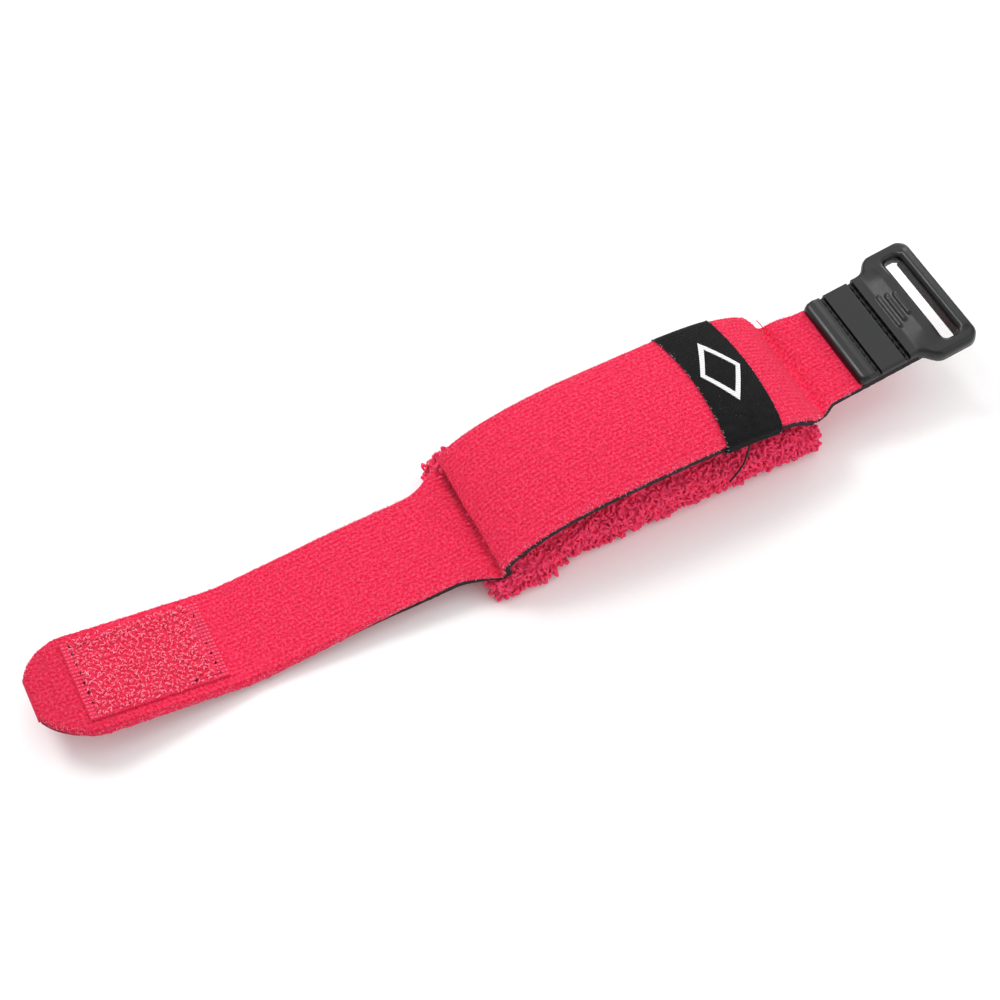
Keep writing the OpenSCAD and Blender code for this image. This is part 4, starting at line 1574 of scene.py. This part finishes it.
def rounded_off(u, v, radius):
    """How far the surface has dropped at (u, v) where it rounds into the side."""
    near = max(0.0, 1 + plan_distance(u, v) / radius)
    return radius * (1 - math.sqrt(max(0.0, 1 - near * near)))


def top_height(u, v):
    """The height of the buckle's upper surface."""
    along = float(numpy.interp(u, *zip(*TOP_PROFILE)))
    top = along + (FRAME_TOP - along) * smoothstep((abs(v) - 8) / 6) * smoothstep((u - 21) / 3)
    # The ridge of the outer bar, beside the slot
    top += 0.45 * math.exp(-((u - SLOT_TO - 1.5) / 0.9) ** 2) * smoothstep((14 - abs(v)) / 1.6)
    for bar_u, half_v in GRIP_BARS:
        top += 0.36 * smoothstep((0.55 - abs(u - bar_u)) / 0.3) * smoothstep((half_v - abs(v)) / 0.5)
    radius = 0.45 + 0.8 * smoothstep((u - 21) / 4) + 0.7 * smoothstep((TONGUE_FROM + 3 - u) / 1.5)
    return top - rounded_off(u, v, radius)


def low_height(u, v):
    """The height of its underside, which leaves the strap's end room under the tongue."""
    over_strap = u < END_STRAP + 0.3 and abs(v) < TONGUE_HALF_W + 0.1
    return (0.0 if over_strap else FRAME_LOW) + rounded_off(u, v, 0.15 if over_strap else 0.5)


def on_buckle():
    """From the buckle's own frame, at the bend and sloped like the strap's end, to the object's."""
    return (Matrix.Translation((BUCKLE_BEND_X, 0, BUCKLE_BEND_Z))
            @ Matrix.Rotation(-BUCKLE_SLOPE, 4, "Y"))


class WRAPSTRAP_OT_buckle(bpy.types.Operator):
    """Build the moulded slot buckle, with its two sewn grooves, its saddle and its rounded frame"""

    bl_idname = "wrap_strap.buckle"
    bl_label = "Buckle"

    def execute(self, context):
        bm = self.plate()
        bmesh.ops.transform(bm, matrix=on_buckle(), verts=bm.verts)
        plastic = moulded_plastic("moulded_acetal", colours().plastic)
        piece(bm, "moulded_buckle", plastic, "buckle_end", ["slot_buckle"], sharp=60)
        self.add_stitches()
        return {"FINISHED"}

    def plate(self):
        """A fine grid cut to the buckle's outline, thickened between its two surfaces."""
        bm = bmesh.new()
        long, wide = FRAME_END - TONGUE_FROM + 0.4, 2 * FRAME_HALF_W + 0.4
        bmesh.ops.create_grid(bm, x_segments=round(long / 0.24), y_segments=round(wide / 0.34), size=0.5)
        for vert in bm.verts:
            vert.co = (TONGUE_FROM - 0.2 + (vert.co.x + 0.5) * long, vert.co.y * wide, 0)
        outside = [f for f in bm.faces if plan_distance(*f.calc_center_median().xy) > 0]
        bmesh.ops.delete(bm, geom=outside, context="FACES")
        for step in range(3):
            for vert in bm.verts:
                if vert.is_boundary:
                    self.to_outline(vert)
        low = bm.verts[:]
        grown = bmesh.ops.extrude_face_region(bm, geom=bm.faces[:])["geom"]
        for vert in grown:
            if isinstance(vert, bmesh.types.BMVert):
                vert.co.z = top_height(vert.co.x, vert.co.y)
        for vert in low:
            vert.co.z = low_height(vert.co.x, vert.co.y)
            if abs(vert.co.x - SLOT_TO) < 0.1 and abs(vert.co.y) < SLOT_HALF_W - 1:
                vert.co.x -= 0.6  # the outer bar's inner side leans in below
        bmesh.ops.recalc_face_normals(bm, faces=bm.faces)
        return bm

    def to_outline(self, vert):
        """Moves a border point onto the outline, straight across it."""
        u, v, small = vert.co.x, vert.co.y, 0.02
        slope = Vector((plan_distance(u + small, v) - plan_distance(u - small, v),
                        plan_distance(u, v + small) - plan_distance(u, v - small), 0))
        if slope.length > 0:
            vert.co -= slope.normalized() * plan_distance(u, v)

    def add_stitches(self):
        """Black stitches down in the two grooves."""
        draw = random.Random(17)
        black = sewing_thread("buckle_thread", linear("#131314"))
        one = stitch()
        placed = on_buckle()
        for u, name in zip(GROOVES, ("inner", "outer")):
            def place(y, u=u):
                return Vector((u - 0.15, y, GROOVE_FLOOR + 0.55)), Vector((0, 0, 1)), Vector((0, 1, 0))
            rows = stitch_row(place, 0.9 - TONGUE_HALF_W, TONGUE_HALF_W - 0.9, 2.4, 0.3, draw)
            rows = [(k, placed @ m) for k, m in rows]
            piece(scatter([one], rows), f"buckle_{name}_stitches", black, "buckle_end",
                  [f"buckle_thread_{name}"])
        one.free()


# ---- Panel, registration and the run -------------------------------------------------------------

OPERATORS = (
    WRAPSTRAP_OT_stage,
    WRAPSTRAP_OT_strap,
    WRAPSTRAP_OT_nap,
    WRAPSTRAP_OT_terry_pad,
    WRAPSTRAP_OT_label,
    WRAPSTRAP_OT_seams,
    WRAPSTRAP_OT_hook_patch,
    WRAPSTRAP_OT_buckle,
)


class WRAPSTRAP_PT_build(bpy.types.Panel):
    """Lists the wrap strap's pieces, sizes and colours"""

    bl_idname = "WRAPSTRAP_PT_build"
    bl_label = "Wrap Strap"
    bl_space_type = "VIEW_3D"
    bl_region_type = "UI"
    bl_category = "Wrap Strap"

    def draw(self, context):
        for operator in OPERATORS:
            self.layout.operator(operator.bl_idname)
        for group in (context.scene.wrap_strap_sizes, context.scene.wrap_strap_colours):
            box = self.layout.box()
            for name in group.__annotations__:
                box.prop(group, name)


CLASSES = (WrapStrapSizes, WrapStrapColours, *OPERATORS, WRAPSTRAP_PT_build)


def register():
    for cls in CLASSES:
        bpy.utils.register_class(cls)
    bpy.types.Scene.wrap_strap_sizes = PointerProperty(type=WrapStrapSizes)
    bpy.types.Scene.wrap_strap_colours = PointerProperty(type=WrapStrapColours)


def unregister():
    del bpy.types.Scene.wrap_strap_colours
    del bpy.types.Scene.wrap_strap_sizes
    for cls in reversed(CLASSES):
        bpy.utils.unregister_class(cls)


def main():
    register()
    for operator in OPERATORS:
        group, name = operator.bl_idname.split(".")
        getattr(getattr(bpy.ops, group), name)()


if __name__ == "__main__":
    main()
